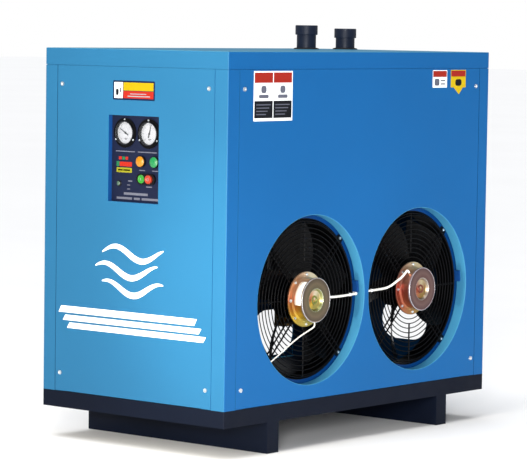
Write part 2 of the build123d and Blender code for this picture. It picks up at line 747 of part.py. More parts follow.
COMPRESSOR_X, COMPRESSOR_Y = COMPRESSOR
SHELL_RADIUS = 105
SHELL_Z = (166, 468)
with BuildPart() as compressor:
    with BuildSketch(Plane.XY.offset(SHELL_Z[0])):
        with Locations(COMPRESSOR):
            Circle(SHELL_RADIUS)
    extrude(amount=SHELL_Z[1] - SHELL_Z[0])
    fillet(compressor.edges().filter_by(GeomType.CIRCLE), 45)
    with BuildSketch(Plane.XY.offset(300)):
        with Locations(COMPRESSOR):
            Circle(SHELL_RADIUS + 4)
    extrude(amount=14)
    foot_y = (COMPRESSOR_Y - 115, COMPRESSOR_Y + 115)
    block((COMPRESSOR_X - 115, COMPRESSOR_X + 115), foot_y, (160, SHELL_Z[0]))
    terminal_y = (COMPRESSOR_Y - 32, COMPRESSOR_Y + 32)
    block((COMPRESSOR_X + 90, COMPRESSOR_X + 140), terminal_y, (330, 410))
    with Locations((COMPRESSOR_X, COMPRESSOR_Y, SHELL_Z[1])):
        Cylinder(10, 16)
    with Locations((COMPRESSOR_X - 50, COMPRESSOR_Y + 90, 300)):
        Cylinder(13, 24, rotation=(90, 0, 0))
    with Locations((COMPRESSOR_X, COMPRESSOR_Y, 315)):
        Cylinder(78, 250, mode=Mode.SUBTRACT)
    with Locations((COMPRESSOR_X, COMPRESSOR_Y, SHELL_Z[1])):
        Cylinder(5.3, 80, mode=Mode.SUBTRACT)
    with Locations((COMPRESSOR_X - 50, COMPRESSOR_Y + 77, 300)):
        Cylinder(8.3, 60, rotation=(90, 0, 0), mode=Mode.SUBTRACT)
    mount_spots = [
        (COMPRESSOR_X + dx, COMPRESSOR_Y + dy) for dx in (-98, 98) for dy in (-98, 98)
    ]
    drilled(Plane.XY.offset(SHELL_Z[0]), mount_spots, 6.3, 6)
finish(compressor.part, "compressor")

with BuildPart() as compressor_mounts:
    for spot_x, spot_y in mount_spots:
        outline = (
            (0, DECK),
            (15, DECK),
            (12, DECK + 11),
            (15, DECK + 22),
            (6, DECK + 22),
            (6, SHELL_Z[0]),
            (10, SHELL_Z[0]),
            (10, SHELL_Z[0] + 6),
            (0, SHELL_Z[0] + 6),
        )
        turned(outline, *upright_section(spot_x, spot_y))
finish(compressor_mounts.part, "compressor_mounts")

ROW_PITCH = 50
ROW_COUNT = 12
ROW_LOW = COIL_Z[0] + 35
HEADER_TOP = ROW_LOW + (ROW_COUNT - 1) * ROW_PITCH
STUB_Y = COIL_Y[0] + 25 - SHEET - 10
CORE_WALL = 8
coil_x = sum(COIL_X) / 2
with BuildPart() as condenser_coil:
    core_y = (COIL_Y[0] + 25, COIL_Y[1] - 25)
    block((COIL_X[0] + 2, COIL_X[1] - 2), core_y, (COIL_Z[0] + 6, COIL_Z[1] - 6))
    for plate_y in (core_y[0] - SHEET, core_y[1]):
        block(COIL_X, (plate_y, plate_y + SHEET), (DECK, COIL_Z[1]))
    for edge_z in (COIL_Z[0] + 4, COIL_Z[1] - 6):
        block(COIL_X, core_y, (edge_z, edge_z + SHEET))
    for row in range(ROW_COUNT - 1):
        low = ROW_LOW + row * ROW_PITCH
        rear_end = row % 2 == 0
        bend_y = core_y[1] + SHEET if rear_end else core_y[0] - SHEET
        with BuildSketch(Plane(origin=(coil_x, bend_y, low), z_dir=(0, 1, 0))):
            Circle(5)
        revolve(
            axis=Axis((coil_x, bend_y, low + ROW_PITCH / 2), (1, 0, 0)),
            revolution_arc=180 if rear_end else -180,
        )
    block(
        (COIL_X[0] + CORE_WALL, COIL_X[1] - CORE_WALL),
        (core_y[0] + CORE_WALL, core_y[1] - CORE_WALL),
        (COIL_Z[0] + 2 * CORE_WALL, COIL_Z[1] - 2 * CORE_WALL),
        Mode.SUBTRACT,
    )
    for stub_z in (ROW_LOW, HEADER_TOP):
        with Locations((coil_x, core_y[0] - SHEET - 5, stub_z)):
            Cylinder(8, 10, rotation=(90, 0, 0))
    headers = [(coil_x, ROW_LOW), (coil_x, HEADER_TOP)]
    drilled(Plane.XZ.offset(-STUB_Y), headers, 5, 2 * CORE_WALL + 10)
finish(condenser_coil.part, "condenser_coil")

with BuildPart() as discharge_line:
    hot_route = (
        (COMPRESSOR_X, COMPRESSOR_Y, SHELL_Z[1] + 8),
        (COMPRESSOR_X, COMPRESSOR_Y, 640),
        (-230, COMPRESSOR_Y, 640),
        (-230, -568, 640),
        (coil_x, -568, 640),
        (coil_x, -568, HEADER_TOP),
        (coil_x, STUB_Y, HEADER_TOP),
    )
    tube(hot_route, 19, 6.35, 5.3)
finish(discharge_line.part, "discharge_line")

DRIER_X, DRIER_Y = DRIER
with BuildPart() as filter_drier:
    outline = ((0, 230), (8, 230), (8, 240), (28, 252), (28, 358), (8, 370), (8, 380), (0, 380))
    turned(outline, *upright_section(DRIER_X, DRIER_Y))
finish(filter_drier.part, "filter_drier")

with BuildPart() as liquid_line:
    cool_route = (
        (coil_x, STUB_Y, ROW_LOW),
        (coil_x, DRIER_Y, ROW_LOW),
        (DRIER_X, DRIER_Y, ROW_LOW),
        (DRIER_X, DRIER_Y, 230),
    )
    tube(cool_route, 15, 4.75, 4)
    feed_route = (
        (DRIER_X, DRIER_Y, 380),
        (DRIER_X, DRIER_Y, 560),
        (DRIER_X, -300, 560),
        (DRIER_X, -300, VESSEL_Z - 30),
        (DRIER_X, VESSEL_Y[0], VESSEL_Z - 30),
    )
    tube(feed_route, 25, 4.75, 4)
finish(liquid_line.part, "liquid_line")

with BuildPart() as suction_line:
    cold_x = COMPRESSOR_X - 50
    cold_route = (
        (cold_x, VESSEL_Y[0], VESSEL_Z + 30),
        (cold_x, -190, VESSEL_Z + 30),
        (cold_x, -190, 300),
        (cold_x, COMPRESSOR_Y + 102, 300),
    )
    tube(cold_route, 28, 9.5, 8.3)
finish(suction_line.part, "suction_line")

# === electrical ==============================================================================

with BuildPart() as contactor_box:
    box_x, box_y, box_z = (150, 290), (-FACE + SHEET + FOLD + 2, -512), (720, 960)
    block(box_x, box_y, box_z)
    fillet(contactor_box.edges().filter_by(Axis.Y), 6)
    block(
        (box_x[0] + 3, box_x[1] - 3), (box_y[0] + 3, box_y[1]), (box_z[0] + 3, box_z[1] - 3), Mode.SUBTRACT
    )
    block((box_x[0] + 4, box_x[1] - 4), (box_y[1] + FIT, box_y[1] + 4), (box_z[0] + 4, box_z[1] - 4))
    for contactor_z in (770, 850):
        block((185, 235), (box_y[0] + 3, box_y[0] + 60), (contactor_z, contactor_z + 62))
finish(contactor_box.part, "contactor_box")

with BuildPart() as cable_gland:
    outline = (
        (6.5, FACE - 22),
        (10, FACE - 22),
        (10, FACE - 12),
        (14, FACE - 12),
        (14, FACE - SHEET),
        (10, FACE - SHEET),
        (10, FACE),
        (14, FACE),
        (14, FACE + 4),
        (11, FACE + 8),
        (6.5, FACE + 8),
    )
    turned(outline, *facing(*GLAND))
finish(cable_gland.part, "cable_gland")

# === fans ====================================================================================


def fan_spot(fan_y, radius, angle):
    """A point in the fan's own plane, as (Y, Z), with the angle taken from +Y towards +Z."""
    return fan_y + radius * cos(radians(angle)), FAN_Z + radius * sin(radians(angle))


def fan_turned(fan_y, outline, mode=Mode.ADD):
    """Revolve an (X, radius) outline about the fan's axis."""
    section = Plane(origin=(0, fan_y, FAN_Z))
    turned(outline, section, Axis((0, fan_y, FAN_Z), (1, 0, 0)), mode)


LEAD_SPOT = {"front": (FAN_Y["front"] + 238, 429), "rear": (FAN_Y["rear"] - 238, 431)}
FOOT_ANGLES = (45, 135, 225, 315)
MOTOR_SCREW_ANGLES = range(0, 360, 45)


def shroud(fan_y, lead_spot):
    """A standing plate with a deep round throat that the blades turn in."""
    back = SHROUD_X - SHEET
    with BuildPart() as plate:
        block((back, SHROUD_X), (fan_y - 250, fan_y + 250), (DECK, 700))
        for edge_y in (fan_y - 250, fan_y + 250 - SHEET):
            block((back - 22, back), (edge_y, edge_y + SHEET), (DECK, 700))
        block((back - 40, back), (fan_y - 250, fan_y + 250), (DECK, DECK + SHEET))
        block((back - 22, back), (fan_y - 250, fan_y + 250), (700 - SHEET, 700))
        with BuildSketch(Plane.YZ.offset(SHROUD_X - THROAT_DEPTH)):
            with Locations((fan_y, FAN_Z)):
                Circle(THROAT_RADIUS + SHEET)
        extrude(amount=THROAT_DEPTH)
        drilled(Plane.YZ.offset(SHROUD_X), [(fan_y, FAN_Z)], THROAT_RADIUS, THROAT_DEPTH)
        lip = plate.edges().filter_by(GeomType.CIRCLE).group_by(Axis.X)[-1]
        fillet(lip.filter_by(lambda edge: edge.radius > 200), 1.6)
        feet = [fan_spot(fan_y, FOOT_RADIUS, angle) for angle in FOOT_ANGLES]
        drilled(Plane.YZ.offset(SHROUD_X), feet, 2.7, SHEET)
        drilled(Plane.YZ.offset(SHROUD_X), [lead_spot], LEAD_RADIUS + 2, SHEET)
    return plate.part


GUARD_PLATE_X = (319.5, 323)
ROD_X = SHROUD_X + SHEET + 2
RING_X = GUARD_PLATE_X[1] - 1.5


def rod(start, end, radius):
    """A straight round wire between two points."""
    run = Vector(*end) - Vector(*start)
    with BuildSketch(Plane(origin=start, z_dir=run)) as section:
        Circle(radius)
    extrude(section.sketch, amount=run.length)


def wire_ring(fan_y, ring_x, radius, half):
    """A round ring of square wire about the fan's axis."""
    outline = (
        (ring_x - half, radius - half),
        (ring_x + half, radius - half),
        (ring_x + half, radius + half),
        (ring_x - half, radius + half),
    )
    fan_turned(fan_y, outline)


def guard(fan_y):
    """A welded wire guard: rings on double diagonal rods, with a centre plate for the motor."""
    with BuildPart() as wires:
        with BuildSketch(Plane.YZ.offset(GUARD_PLATE_X[0])):
            with Locations((fan_y, FAN_Z)):
                Circle(MOTOR_FLANGE_RADIUS - 1)
                Circle(45, mode=Mode.SUBTRACT)
        extrude(amount=GUARD_PLATE_X[1] - GUARD_PLATE_X[0])
        for angle in FOOT_ANGLES:
            for offset in (-9, 9):
                shift_y = -offset * sin(radians(angle))
                shift_z = offset * cos(radians(angle))
                near = fan_spot(fan_y, 70, angle)
                far = fan_spot(fan_y, 228, angle)
                rod(
                    (ROD_X, near[0] + shift_y, near[1] + shift_z),
                    (ROD_X, far[0] + shift_y, far[1] + shift_z),
                    2.5,
                )
            with BuildSketch(Plane.YZ.offset(SHROUD_X)):
                with Locations(Location((*fan_spot(fan_y, 233.5, angle), 0), (0, 0, angle))):
                    Rectangle(17, 28)
            extrude(amount=SHEET)
        for angle in (0, 90, 180, 270):
            rod((ROD_X, *fan_spot(fan_y, 107, angle)), (ROD_X, *fan_spot(fan_y, 226, angle)), 2.5)
        for radius in GUARD_RINGS:
            wire_ring(fan_y, RING_X, radius, 1.5)
        wire_ring(fan_y, ROD_X, RIM_RING, 2.2)
        feet = [fan_spot(fan_y, FOOT_RADIUS, angle) for angle in FOOT_ANGLES]
        drilled(Plane.YZ.offset(SHROUD_X + SHEET), feet, 2.7, SHEET)
        holes = [fan_spot(fan_y, MOTOR_SCREW_RADIUS, angle) for angle in MOTOR_SCREW_ANGLES]
        drilled(Plane.YZ.offset(GUARD_PLATE_X[1]), holes, 2.7, 10)
    return wires.part


SEAT_X = GUARD_PLATE_X[1]
SEAT_RADIUS = 17.6
MOTOR_LEADS = {"front": ((2, LEAD_RADIUS), (-75, EARTH_RADIUS)), "rear": ((130, LEAD_RADIUS),)}


def motor(fan_y, leads):
    """A stator housing: a flange, a shallow can with its winding stack, and a dished end disc."""
    outline = (
        (358, 0),
        (358, 7),
        (360, 8),
        (360, 12.5),
        (357, 14),
        (357, 27),
        (364.5, 32.5),
        (365, 33.5),
        (365, 64),
        (364, 65),
        (360, 65),
        (359, 64),
        (359, MOTOR_RADIUS),
        (SEAT_X + 9, MOTOR_RADIUS),
        (SEAT_X + 5, 66),
        (SEAT_X + 5, MOTOR_FLANGE_RADIUS - 1),
        (SEAT_X + 4, MOTOR_FLANGE_RADIUS),
        (SEAT_X, MOTOR_FLANGE_RADIUS),
        (SEAT_X, SEAT_RADIUS),
        (SEAT_X + 11, SEAT_RADIUS),
        (SEAT_X + 11, 21),
        (SEAT_X + 3, 21),
        (SEAT_X + 3, 57.5),
        (331, 57.5),
        (331, 38),
        (347, 38),
        (347, 57.5),
        (354, 57.5),
        (354, 36),
        (353, 30),
        (353, 21),
        (344, 21),
        (344, SEAT_RADIUS),
        (355, SEAT_RADIUS),
        (355, 0),
    )
    with BuildPart() as housing:
        fan_turned(fan_y, outline)
        holes = [fan_spot(fan_y, MOTOR_SCREW_RADIUS, angle) for angle in MOTOR_SCREW_ANGLES]
        drilled(Plane.YZ.offset(SEAT_X + 5), holes, 2.6, 5)
        for angle, radius in leads:
            away = (0, cos(radians(angle)), sin(radians(angle)))
            with BuildSketch(Plane(origin=(346, *fan_spot(fan_y, 59, angle)), z_dir=away)):
                Circle(radius + 2)
            extrude(amount=6)
    return housing.part


def shaft(fan_y):
    """The turning shaft with its rotor core."""
    outline = (
        (268, 0),
        (268, SHAFT_RADIUS - 1),
        (269, SHAFT_RADIUS),
        (336, SHAFT_RADIUS),
        (336, 37.3),
        (342.5, 37.3),
        (342.5, SHAFT_RADIUS),
        (352, SHAFT_RADIUS),
        (353, SHAFT_RADIUS - 1),
        (353, 0),
    )
    with BuildPart() as spindle:
        fan_turned(fan_y, outline)
    return spindle.part


HUB_X = (246, 306)
HUB_RADIUS = 58
BLADE_X = 274
BLADE_STATIONS = (
    # radius, chord, pitch in degrees, sweep in degrees about the axis
    (50, 84, 46, 0),
    (110, 112, 38, 3),
    (170, 140, 31, 11),
    (232, 160, 26, 24),
)
BLADE_THICKNESS = 2.4
BLADE_TIP = 218


def blade(fan_y, start_angle):
    """One pitched, swept blade, trimmed to the throat's radius."""
    radial = Vector(0, cos(radians(start_angle)), sin(radians(start_angle)))
    around = Vector(0, -sin(radians(start_angle)), cos(radians(start_angle)))
    centre = Vector(BLADE_X, fan_y, FAN_Z)
    with BuildPart() as vane:
        for radius, chord, pitch, sweep_angle in BLADE_STATIONS:
            spot = centre + radial * radius + around * (radius * tan(radians(sweep_angle)))
            chord_line = around * cos(radians(pitch)) - Vector(1, 0, 0) * sin(radians(pitch))
            with BuildSketch(Plane(origin=spot, x_dir=chord_line, z_dir=radial)):
                Rectangle(chord, BLADE_THICKNESS)
        loft()
        with BuildSketch(Plane.YZ.offset(BLADE_X - 80)):
            with Locations((fan_y, FAN_Z)):
                Circle(BLADE_TIP)
        extrude(amount=160, mode=Mode.INTERSECT)
    return vane.part


def impeller(fan_y, start_angle):
    """A steel hub cup that carries equally spaced blades."""
    axis = Axis((0, fan_y, FAN_Z), (1, 0, 0))
    first = blade(fan_y, start_angle)
    cup_floor = HUB_X[1] - 3
    boss = (
        (HUB_X[1], SHAFT_RADIUS + 0.05),
        (HUB_X[1], HUB_RADIUS - 3),
        (cup_floor, HUB_RADIUS - 3),
        (cup_floor, 16),
        (272, 16),
        (272, SHAFT_RADIUS + 0.05),
    )
    with BuildPart() as wheel:
        with BuildSketch(Plane.YZ.offset(HUB_X[0])):
            with Locations((fan_y, FAN_Z)):
                Circle(HUB_RADIUS)
        extrude(amount=HUB_X[1] - HUB_X[0])
        for number in range(BLADE_COUNT):
            add(first.rotate(axis, number * 360 / BLADE_COUNT))
        with BuildSketch(Plane.YZ.offset(BLADE_X - 80)):
            with Locations((fan_y, FAN_Z)):
                Circle(HUB_RADIUS - 3)
        extrude(amount=160, mode=Mode.SUBTRACT)
        fan_turned(fan_y, boss)
    return wheel.part


LEAD_ROUTES = {
    "front": (
        (346, -170.3, 428.3),
        (345, -128, 427),
        (337, -62, 426.5),
        (331, -8, 427.8),
        (318, 2, 428.8),
        (297, 2, 429),
    ),
    "rear": (
        (346, 232.8, 476.4),
        (345, 226, 484.5),
        (343, 204, 466),
        (334, 149, 436),
        (331, 95, 433),
        (330, 47, 431.8),
        (317, 37.5, 431),
        (292, 37, 431),
    ),
}
EARTH_ROUTE = (
    (346, -219.05, 362.6),
    (344.5, -214.8, 346.8),
    (329, -276, 316.5),
    (327, -352, 276),
    (326.8, -388, 258.5),
    (321.6, -398.5, 250.5),
)

for place, fan_y in FAN_Y.items():
    finish(shroud(fan_y, LEAD_SPOT[place]), f"{place}_fan_shroud")
    finish(guard(fan_y), f"{place}_fan_guard")
    finish(motor(fan_y, MOTOR_LEADS[place]), f"{place}_fan_motor")
    finish(shaft(fan_y), f"{place}_fan_shaft")
    finish(impeller(fan_y, BLADE_START[place]), f"{place}_fan_impeller")

for place, route in LEAD_ROUTES.items():
    with BuildPart() as lead:
        tube(route, soft_radii(route), LEAD_RADIUS)
        if place == "front":
            tube(EARTH_ROUTE, soft_radii(EARTH_ROUTE), EARTH_RADIUS)
    finish(lead.part, f"{place}_fan_cable")

with BuildPart() as fan_fasteners:
    for fan_y in FAN_Y.values():
        for angle in MOTOR_SCREW_ANGLES:
            spot = fan_spot(fan_y, MOTOR_SCREW_RADIUS, angle)
            pan_screw((SEAT_X + 5, *spot), (1, 0, 0), 4.6, 3, 2.4, 9)
        for angle in FOOT_ANGLES:
            spot = fan_spot(fan_y, FOOT_RADIUS, angle)
            pan_screw((SHROUD_X + SHEET, *spot), (1, 0, 0), 4.6, 2.6, 2.4, 9)
finish(fan_fasteners.part, "fan_fasteners")

with BuildPart() as fan_bearings:
    for fan_y in FAN_Y.values():
        for low in (SEAT_X + 0.2, 344.2):
            race = (
                (low, 7.5),
                (low + 10.6, 7.5),
                (low + 10.6, 10.5),
                (low + 9.6, 11.2),
                (low + 9.6, 13.8),
                (low + 10.6, 14.5),
                (low + 10.6, 17.5),
                (low, 17.5),
                (low, 14.5),
                (low + 1, 13.8),
                (low + 1, 11.2),
                (low, 10.5),
            )
            fan_turned(fan_y, race)
finish(fan_bearings.part, "fan_bearings")
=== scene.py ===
"""Refrigerated air dryer: looks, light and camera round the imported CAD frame. Metres, Z up."""

import math

import bmesh
import bpy
from mathutils import Matrix, Vector


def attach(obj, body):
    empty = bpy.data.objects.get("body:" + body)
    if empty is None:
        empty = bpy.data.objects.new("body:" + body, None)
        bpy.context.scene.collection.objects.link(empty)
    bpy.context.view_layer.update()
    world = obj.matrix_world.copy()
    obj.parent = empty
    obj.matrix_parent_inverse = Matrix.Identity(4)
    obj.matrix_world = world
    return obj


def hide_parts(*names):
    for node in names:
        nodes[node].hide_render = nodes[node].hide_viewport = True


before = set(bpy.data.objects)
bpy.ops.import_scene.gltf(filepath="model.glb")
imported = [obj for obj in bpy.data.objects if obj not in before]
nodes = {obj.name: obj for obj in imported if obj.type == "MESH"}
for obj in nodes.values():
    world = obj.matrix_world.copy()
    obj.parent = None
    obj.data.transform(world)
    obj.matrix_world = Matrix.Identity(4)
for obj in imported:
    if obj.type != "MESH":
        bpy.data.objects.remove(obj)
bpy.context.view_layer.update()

MM = 0.001
FACE_Y = -0.620
PLATE_Y = -0.605
SIDE_X = 0.350
FAN_Z = 0.426
FAN_Y = {"front": -0.236, "rear": 0.275}
COLLAR_REACH = 0.2466
THROAT_REACH = 0.2335
MOTOR_DISC_X = 0.3585
RINGS_PER_METRE = 15.6
TURNS_PER_RADIAN = 0.159155
MOTOR_FACE_X = 0.3642
GAUGE_X = {"left": -46.3, "right": 45.0}
GAUGE_Z = 900


# === materials ===============================================================================


def srgb(red, green, blue):
    """Display values 0-255 as linear RGBA."""
    linear = []
    for value in (red, green, blue):
        v = value / 255
        linear.append(v / 12.92 if v <= 0.04045 else ((v + 0.055) / 1.055) ** 2.4)
    return (*linear, 1.0)


def scaled(colour, factor):
    return (*(min(channel * factor, 1.0) for channel in colour[:3]), 1.0)


class Tree:
    """A small wrapper that makes node trees short to write."""

    def __init__(self, name):
        self.material = bpy.data.materials.new(name)
        self.material.use_nodes = True
        self.tree = self.material.node_tree
        self.shader = self.tree.nodes["Principled BSDF"]
        self.place = self.node("ShaderNodeTexCoord").outputs["Object"]

    def node(self, kind, **settings):
        made = self.tree.nodes.new(kind)
        for key, value in settings.items():
            if key in made.inputs:
                made.inputs[key].default_value = value
            else:
                setattr(made, key, value)
        return made

    def link(self, output, socket):
        self.tree.links.new(output, socket)

    def math(self, operation, *values):
        made = self.node("ShaderNodeMath", operation=operation)
        for socket, value in zip(made.inputs, values):
            if isinstance(value, (int, float)):
                socket.default_value = value
            else:
                self.link(value, socket)
        return made.outputs[0]

    def noise(self, scale, detail=2.0, stretch=(1, 1, 1), roughness=0.5):
        mapping = self.node("ShaderNodeMapping")
        mapping.inputs["Scale"].default_value = stretch
        self.link(self.place, mapping.inputs["Vector"])
        made = self.node("ShaderNodeTexNoise", Scale=scale, Detail=detail, Roughness=roughness)
        self.link(mapping.outputs["Vector"], made.inputs["Vector"])
        return made.outputs["Fac"]

    def ramp(self, factor, stops):
        made = self.node("ShaderNodeValToRGB")
        elements = made.color_ramp.elements
        elements[0].position, elements[0].color = stops[0]
        elements[1].position, elements[1].color = stops[-1]
        for position, colour in stops[1:-1]:
            element = elements.new(position)
            element.color = colour
        self.link(factor, made.inputs["Fac"])
        return made.outputs["Color"]

    def span(self, factor, low, high, from_low=0.3, from_high=0.7):
        made = self.node("ShaderNodeMapRange")
        for key, value in (
            ("From Min", from_low),
            ("From Max", from_high),
            ("To Min", low),
            ("To Max", high),
        ):
            made.inputs[key].default_value = value
        self.link(factor, made.inputs["Value"])
        return made.outputs["Result"]

    def colour(self, output):
        self.link(output, self.shader.inputs["Base Color"])

    def rough(self, output):
        self.link(output, self.shader.inputs["Roughness"])

    def bump(self, height, distance, strength=0.5):
        made = self.node("ShaderNodeBump", Distance=distance, Strength=strength)
        self.link(height, made.inputs["Height"])
        self.link(made.outputs["Normal"], self.shader.inputs["Normal"])

    def blend(self, factor, first, second):
        made = self.node("ShaderNodeMix", data_type="RGBA")
        self.link(factor, made.inputs["Factor"])
        for value, socket in ((first, made.inputs[6]), (second, made.inputs[7])):
            if isinstance(value, tuple):
                socket.default_value = value
            else:
                self.link(value, socket)
        return made.outputs[2]

    def fan_polar(self, fan_y):
        """Radius and angle about a fan's axis."""
        parts = self.node("ShaderNodeSeparateXYZ")
        self.link(self.place, parts.inputs["Vector"])
        across = self.math("SUBTRACT", parts.outputs["Y"], fan_y)
        up = self.math("SUBTRACT", parts.outputs["Z"], FAN_Z)
        radius = self.math("POWER", self.math("ADD", self.math("MULTIPLY", across, across),
                                              self.math("MULTIPLY", up, up)), 0.5)
        return radius, self.math("ARCTAN2", up, across), parts.outputs


def surface(name, colour, vary=0.08, grain=4.0, roughness=(0.35, 0.45), metallic=0.0, coat=0.0,
            peel=(450.0, 0.00008, 0.35), specular=0.25, stretch=(1, 1, 1)):
    """A painted, moulded, plated or cast finish with colour drift, uneven gloss and fine relief."""
    t = Tree(name)
    t.shader.inputs["Metallic"].default_value = metallic
    t.shader.inputs["Specular IOR Level"].default_value = specular
    t.shader.inputs["Coat Weight"].default_value = coat
    t.shader.inputs["Coat Roughness"].default_value = 0.12
    drift = t.noise(grain, 4.0, stretch)
    t.colour(t.ramp(drift, ((0.3, scaled(colour, 1 - vary)), (0.7, scaled(colour, 1 + vary)))))
    t.rough(t.span(t.noise(grain * 7, 3.0, stretch), *roughness))
    scale, distance, strength = peel
    t.bump(t.noise(scale, 2.0, stretch), distance, strength)
    return t.material


def passivated(name, fan_y, tints_and_reflections):
    """Yellow-passivated zinc: tints by angle round the flank, and by radius across the end disc. The ramps
    mix the zinc's own tints with painted reflections and a painted highlight on the flank's top.
    """
    t = Tree(name)
    t.shader.inputs["Metallic"].default_value = 0.85
    radius, angle, parts = t.fan_polar(fan_y)
    cloud = t.noise(22.0, 3.0)
    drift = t.math("MULTIPLY", t.math("SUBTRACT", cloud, 0.5), 0.16)
    turn = t.math("ADD", t.math("MULTIPLY_ADD", angle, TURNS_PER_RADIAN, 0.5), drift)
    flank = t.ramp(turn, tints_and_reflections["flank"])
    ring = t.math("ADD", t.math("MULTIPLY", radius, RINGS_PER_METRE), t.math("MULTIPLY", drift, 0.5))
    disc = t.ramp(ring, tints_and_reflections["disc"])
    on_disc = t.math("GREATER_THAN", parts["X"], MOTOR_DISC_X)
    t.colour(t.blend(on_disc, flank, disc))
    t.rough(t.span(t.noise(160.0, 3.0), 0.3, 0.42))
    t.bump(t.noise(900.0, 2.0), 0.00003, 0.3)
    return t.material


# Where a sheet's inside face begins; there the cabinet blue is darkened as painted shade.
SHADED_INSIDE_LIMITS = (("X", -0.29), ("Y", -0.55))


def facing(t):
    """Masks for painted light and shade: a surface that faces along Y, one that faces along Z, and a
    sheet's inside face.
    """
    normal = t.node("ShaderNodeSeparateXYZ")
    t.link(t.node("ShaderNodeNewGeometry").outputs["Normal"], normal.inputs["Vector"])
    spot = t.node("ShaderNodeSeparateXYZ")
    t.link(t.place, spot.inputs["Vector"])
    ends, lids = (t.span(t.math("ABSOLUTE", normal.outputs[axis]), 0.0, 1.0, 0.35, 0.8) for axis in "YZ")
    shaded_inside = [
        t.math("LESS_THAN", t.math("MULTIPLY", normal.outputs[axis], spot.outputs[axis]), limit)
        for axis, limit in SHADED_INSIDE_LIMITS
    ]
    return ends, lids, t.math("MAXIMUM", *shaded_inside)


def painted_light_cabinet_coat(t):
    """Light blue powder coat, paler on the ends and the lid as painted light, and dark inside the cabinet
    as painted shade.
    """
    drift = t.noise(1.8, 4.0)
    lit_and_shaded_coats = []
    # The fourth, dark copy is painted shade on the sheets' inside faces.
    for colour in (SIDE_SHADED_BLUE, FRONT_LIT_BLUE, TOP_LIT_BLUE, scaled(SIDE_SHADED_BLUE, 0.18)):
        lit_and_shaded_coats.append(t.ramp(drift, ((0.3, scaled(colour, 0.95)), (0.7, scaled(colour, 1.05)))))
    ends, lids, shaded_inside = facing(t)
    t.rough(t.span(t.noise(12.0, 3.0), 0.34, 0.44))
    t.bump(t.noise(450.0, 2.0), 0.00008, 0.35)
    outside_lit_and_shaded = t.blend(lids, t.blend(ends, lit_and_shaded_coats[0], lit_and_shaded_coats[1]), lit_and_shaded_coats[2])
    return t.blend(shaded_inside, outside_lit_and_shaded, lit_and_shaded_coats[3])


def cabinet_paint(name):
    t = Tree(name)
    t.shader.inputs["Specular IOR Level"].default_value = 0.12
    t.colour(painted_light_cabinet_coat(t))
    return t.material


def drawn_panel_paint(name):
    """The fan panel: cabinet blue, a touch brighter on the drawn collars as painted light."""
    t = Tree(name)
    t.shader.inputs["Specular IOR Level"].default_value = 0.12
    nearest = t.math("MINIMUM", *(t.fan_polar(fan_y)[0] for fan_y in FAN_Y.values()))
    # Painted light: the collars get the brighter blue.
    collar = t.math("LESS_THAN", nearest, COLLAR_REACH)
    t.colour(t.blend(collar, painted_light_cabinet_coat(t), COLLAR_LIT_BLUE))
    return t.material


def collared_paint(name, deep):
    """Shroud: cabinet blue darkened as painted shade outside the guard's rim, black paint in the throat."""
    t = Tree(name)
    t.shader.inputs["Specular IOR Level"].default_value = 0.08
    nearest = t.math("MINIMUM", *(t.fan_polar(fan_y)[0] for fan_y in FAN_Y.values()))
    outside = t.math("GREATER_THAN", nearest, THROAT_REACH)
    # Painted shade: the rim's blue is multiplied darker.
    shaded = t.node("ShaderNodeMix", data_type="RGBA", blend_type="MULTIPLY", Factor=1.0)
    t.link(painted_light_cabinet_coat(t), shaded.inputs[6])
    shaded.inputs[7].default_value = (0.35, 0.4, 0.55, 1)
    t.colour(t.blend(outside, deep, shaded.outputs[2]))
    return t.material


def lens(name, colour, glow):
    """A lamp lens: glossy plastic with moulded rings."""
    t = Tree(name)
    t.shader.inputs["Coat Weight"].default_value = 0.2
    t.shader.inputs["Coat Roughness"].default_value = 0.15
    t.shader.inputs["Specular IOR Level"].default_value = 0.35
    t.shader.inputs["Emission Color"].default_value = colour
    t.shader.inputs["Emission Strength"].default_value = glow
    drift = t.noise(180.0, 2.0)
    t.colour(t.ramp(drift, ((0.3, scaled(colour, 0.86)), (0.7, scaled(colour, 1.1)))))
    t.rough(t.span(drift, 0.26, 0.36))
    t.bump(t.noise(700.0, 1.0), 0.0002, 0.4)
    return t.material


def clear_glass():
    t = Tree("gauge_glass")
    t.shader.inputs["Alpha"].default_value = 0.05
    t.shader.inputs["Coat Weight"].default_value = 0.3
    t.colour(t.ramp(t.noise(60.0), ((0.3, (0.30, 0.33, 0.36, 1)), (0.7, (0.36, 0.38, 0.40, 1)))))
    t.rough(t.span(t.noise(30.0), 0.03, 0.08))
    return t.material


def fan_black(name, fan_y):
    """Satin black powder coat, a little dusty towards the blade tips."""
    t = Tree(name)
    radius, _, _ = t.fan_polar(fan_y)
    dust = t.math("MULTIPLY", t.span(radius, 0.0, 1.0, 0.06, 0.23), t.noise(70.0, 5.0))
    t.colour(t.blend(dust, srgb(1, 1, 2), srgb(12, 13, 15)))
    t.shader.inputs["Specular IOR Level"].default_value = 0.1
    t.rough(t.span(t.noise(120.0, 3.0), 0.24, 0.36))
    t.bump(t.noise(600.0, 2.0), 0.00008, 0.35)
    return t.material


# Copies of the cabinet blue for faces along X, Y and Z and for the drawn collars: painted light and shade.
FRONT_LIT_BLUE = (0.0160, 0.107, 0.220, 1)
SIDE_SHADED_BLUE = (0.0035, 0.094, 0.282, 1)
TOP_LIT_BLUE = (0.060, 0.250, 0.400, 1)
COLLAR_LIT_BLUE = (0.042, 0.205, 0.360, 1)
NAVY = (0.0024, 0.0045, 0.012, 1)
PLATE_NAVY = (0.0055, 0.0085, 0.026, 1)
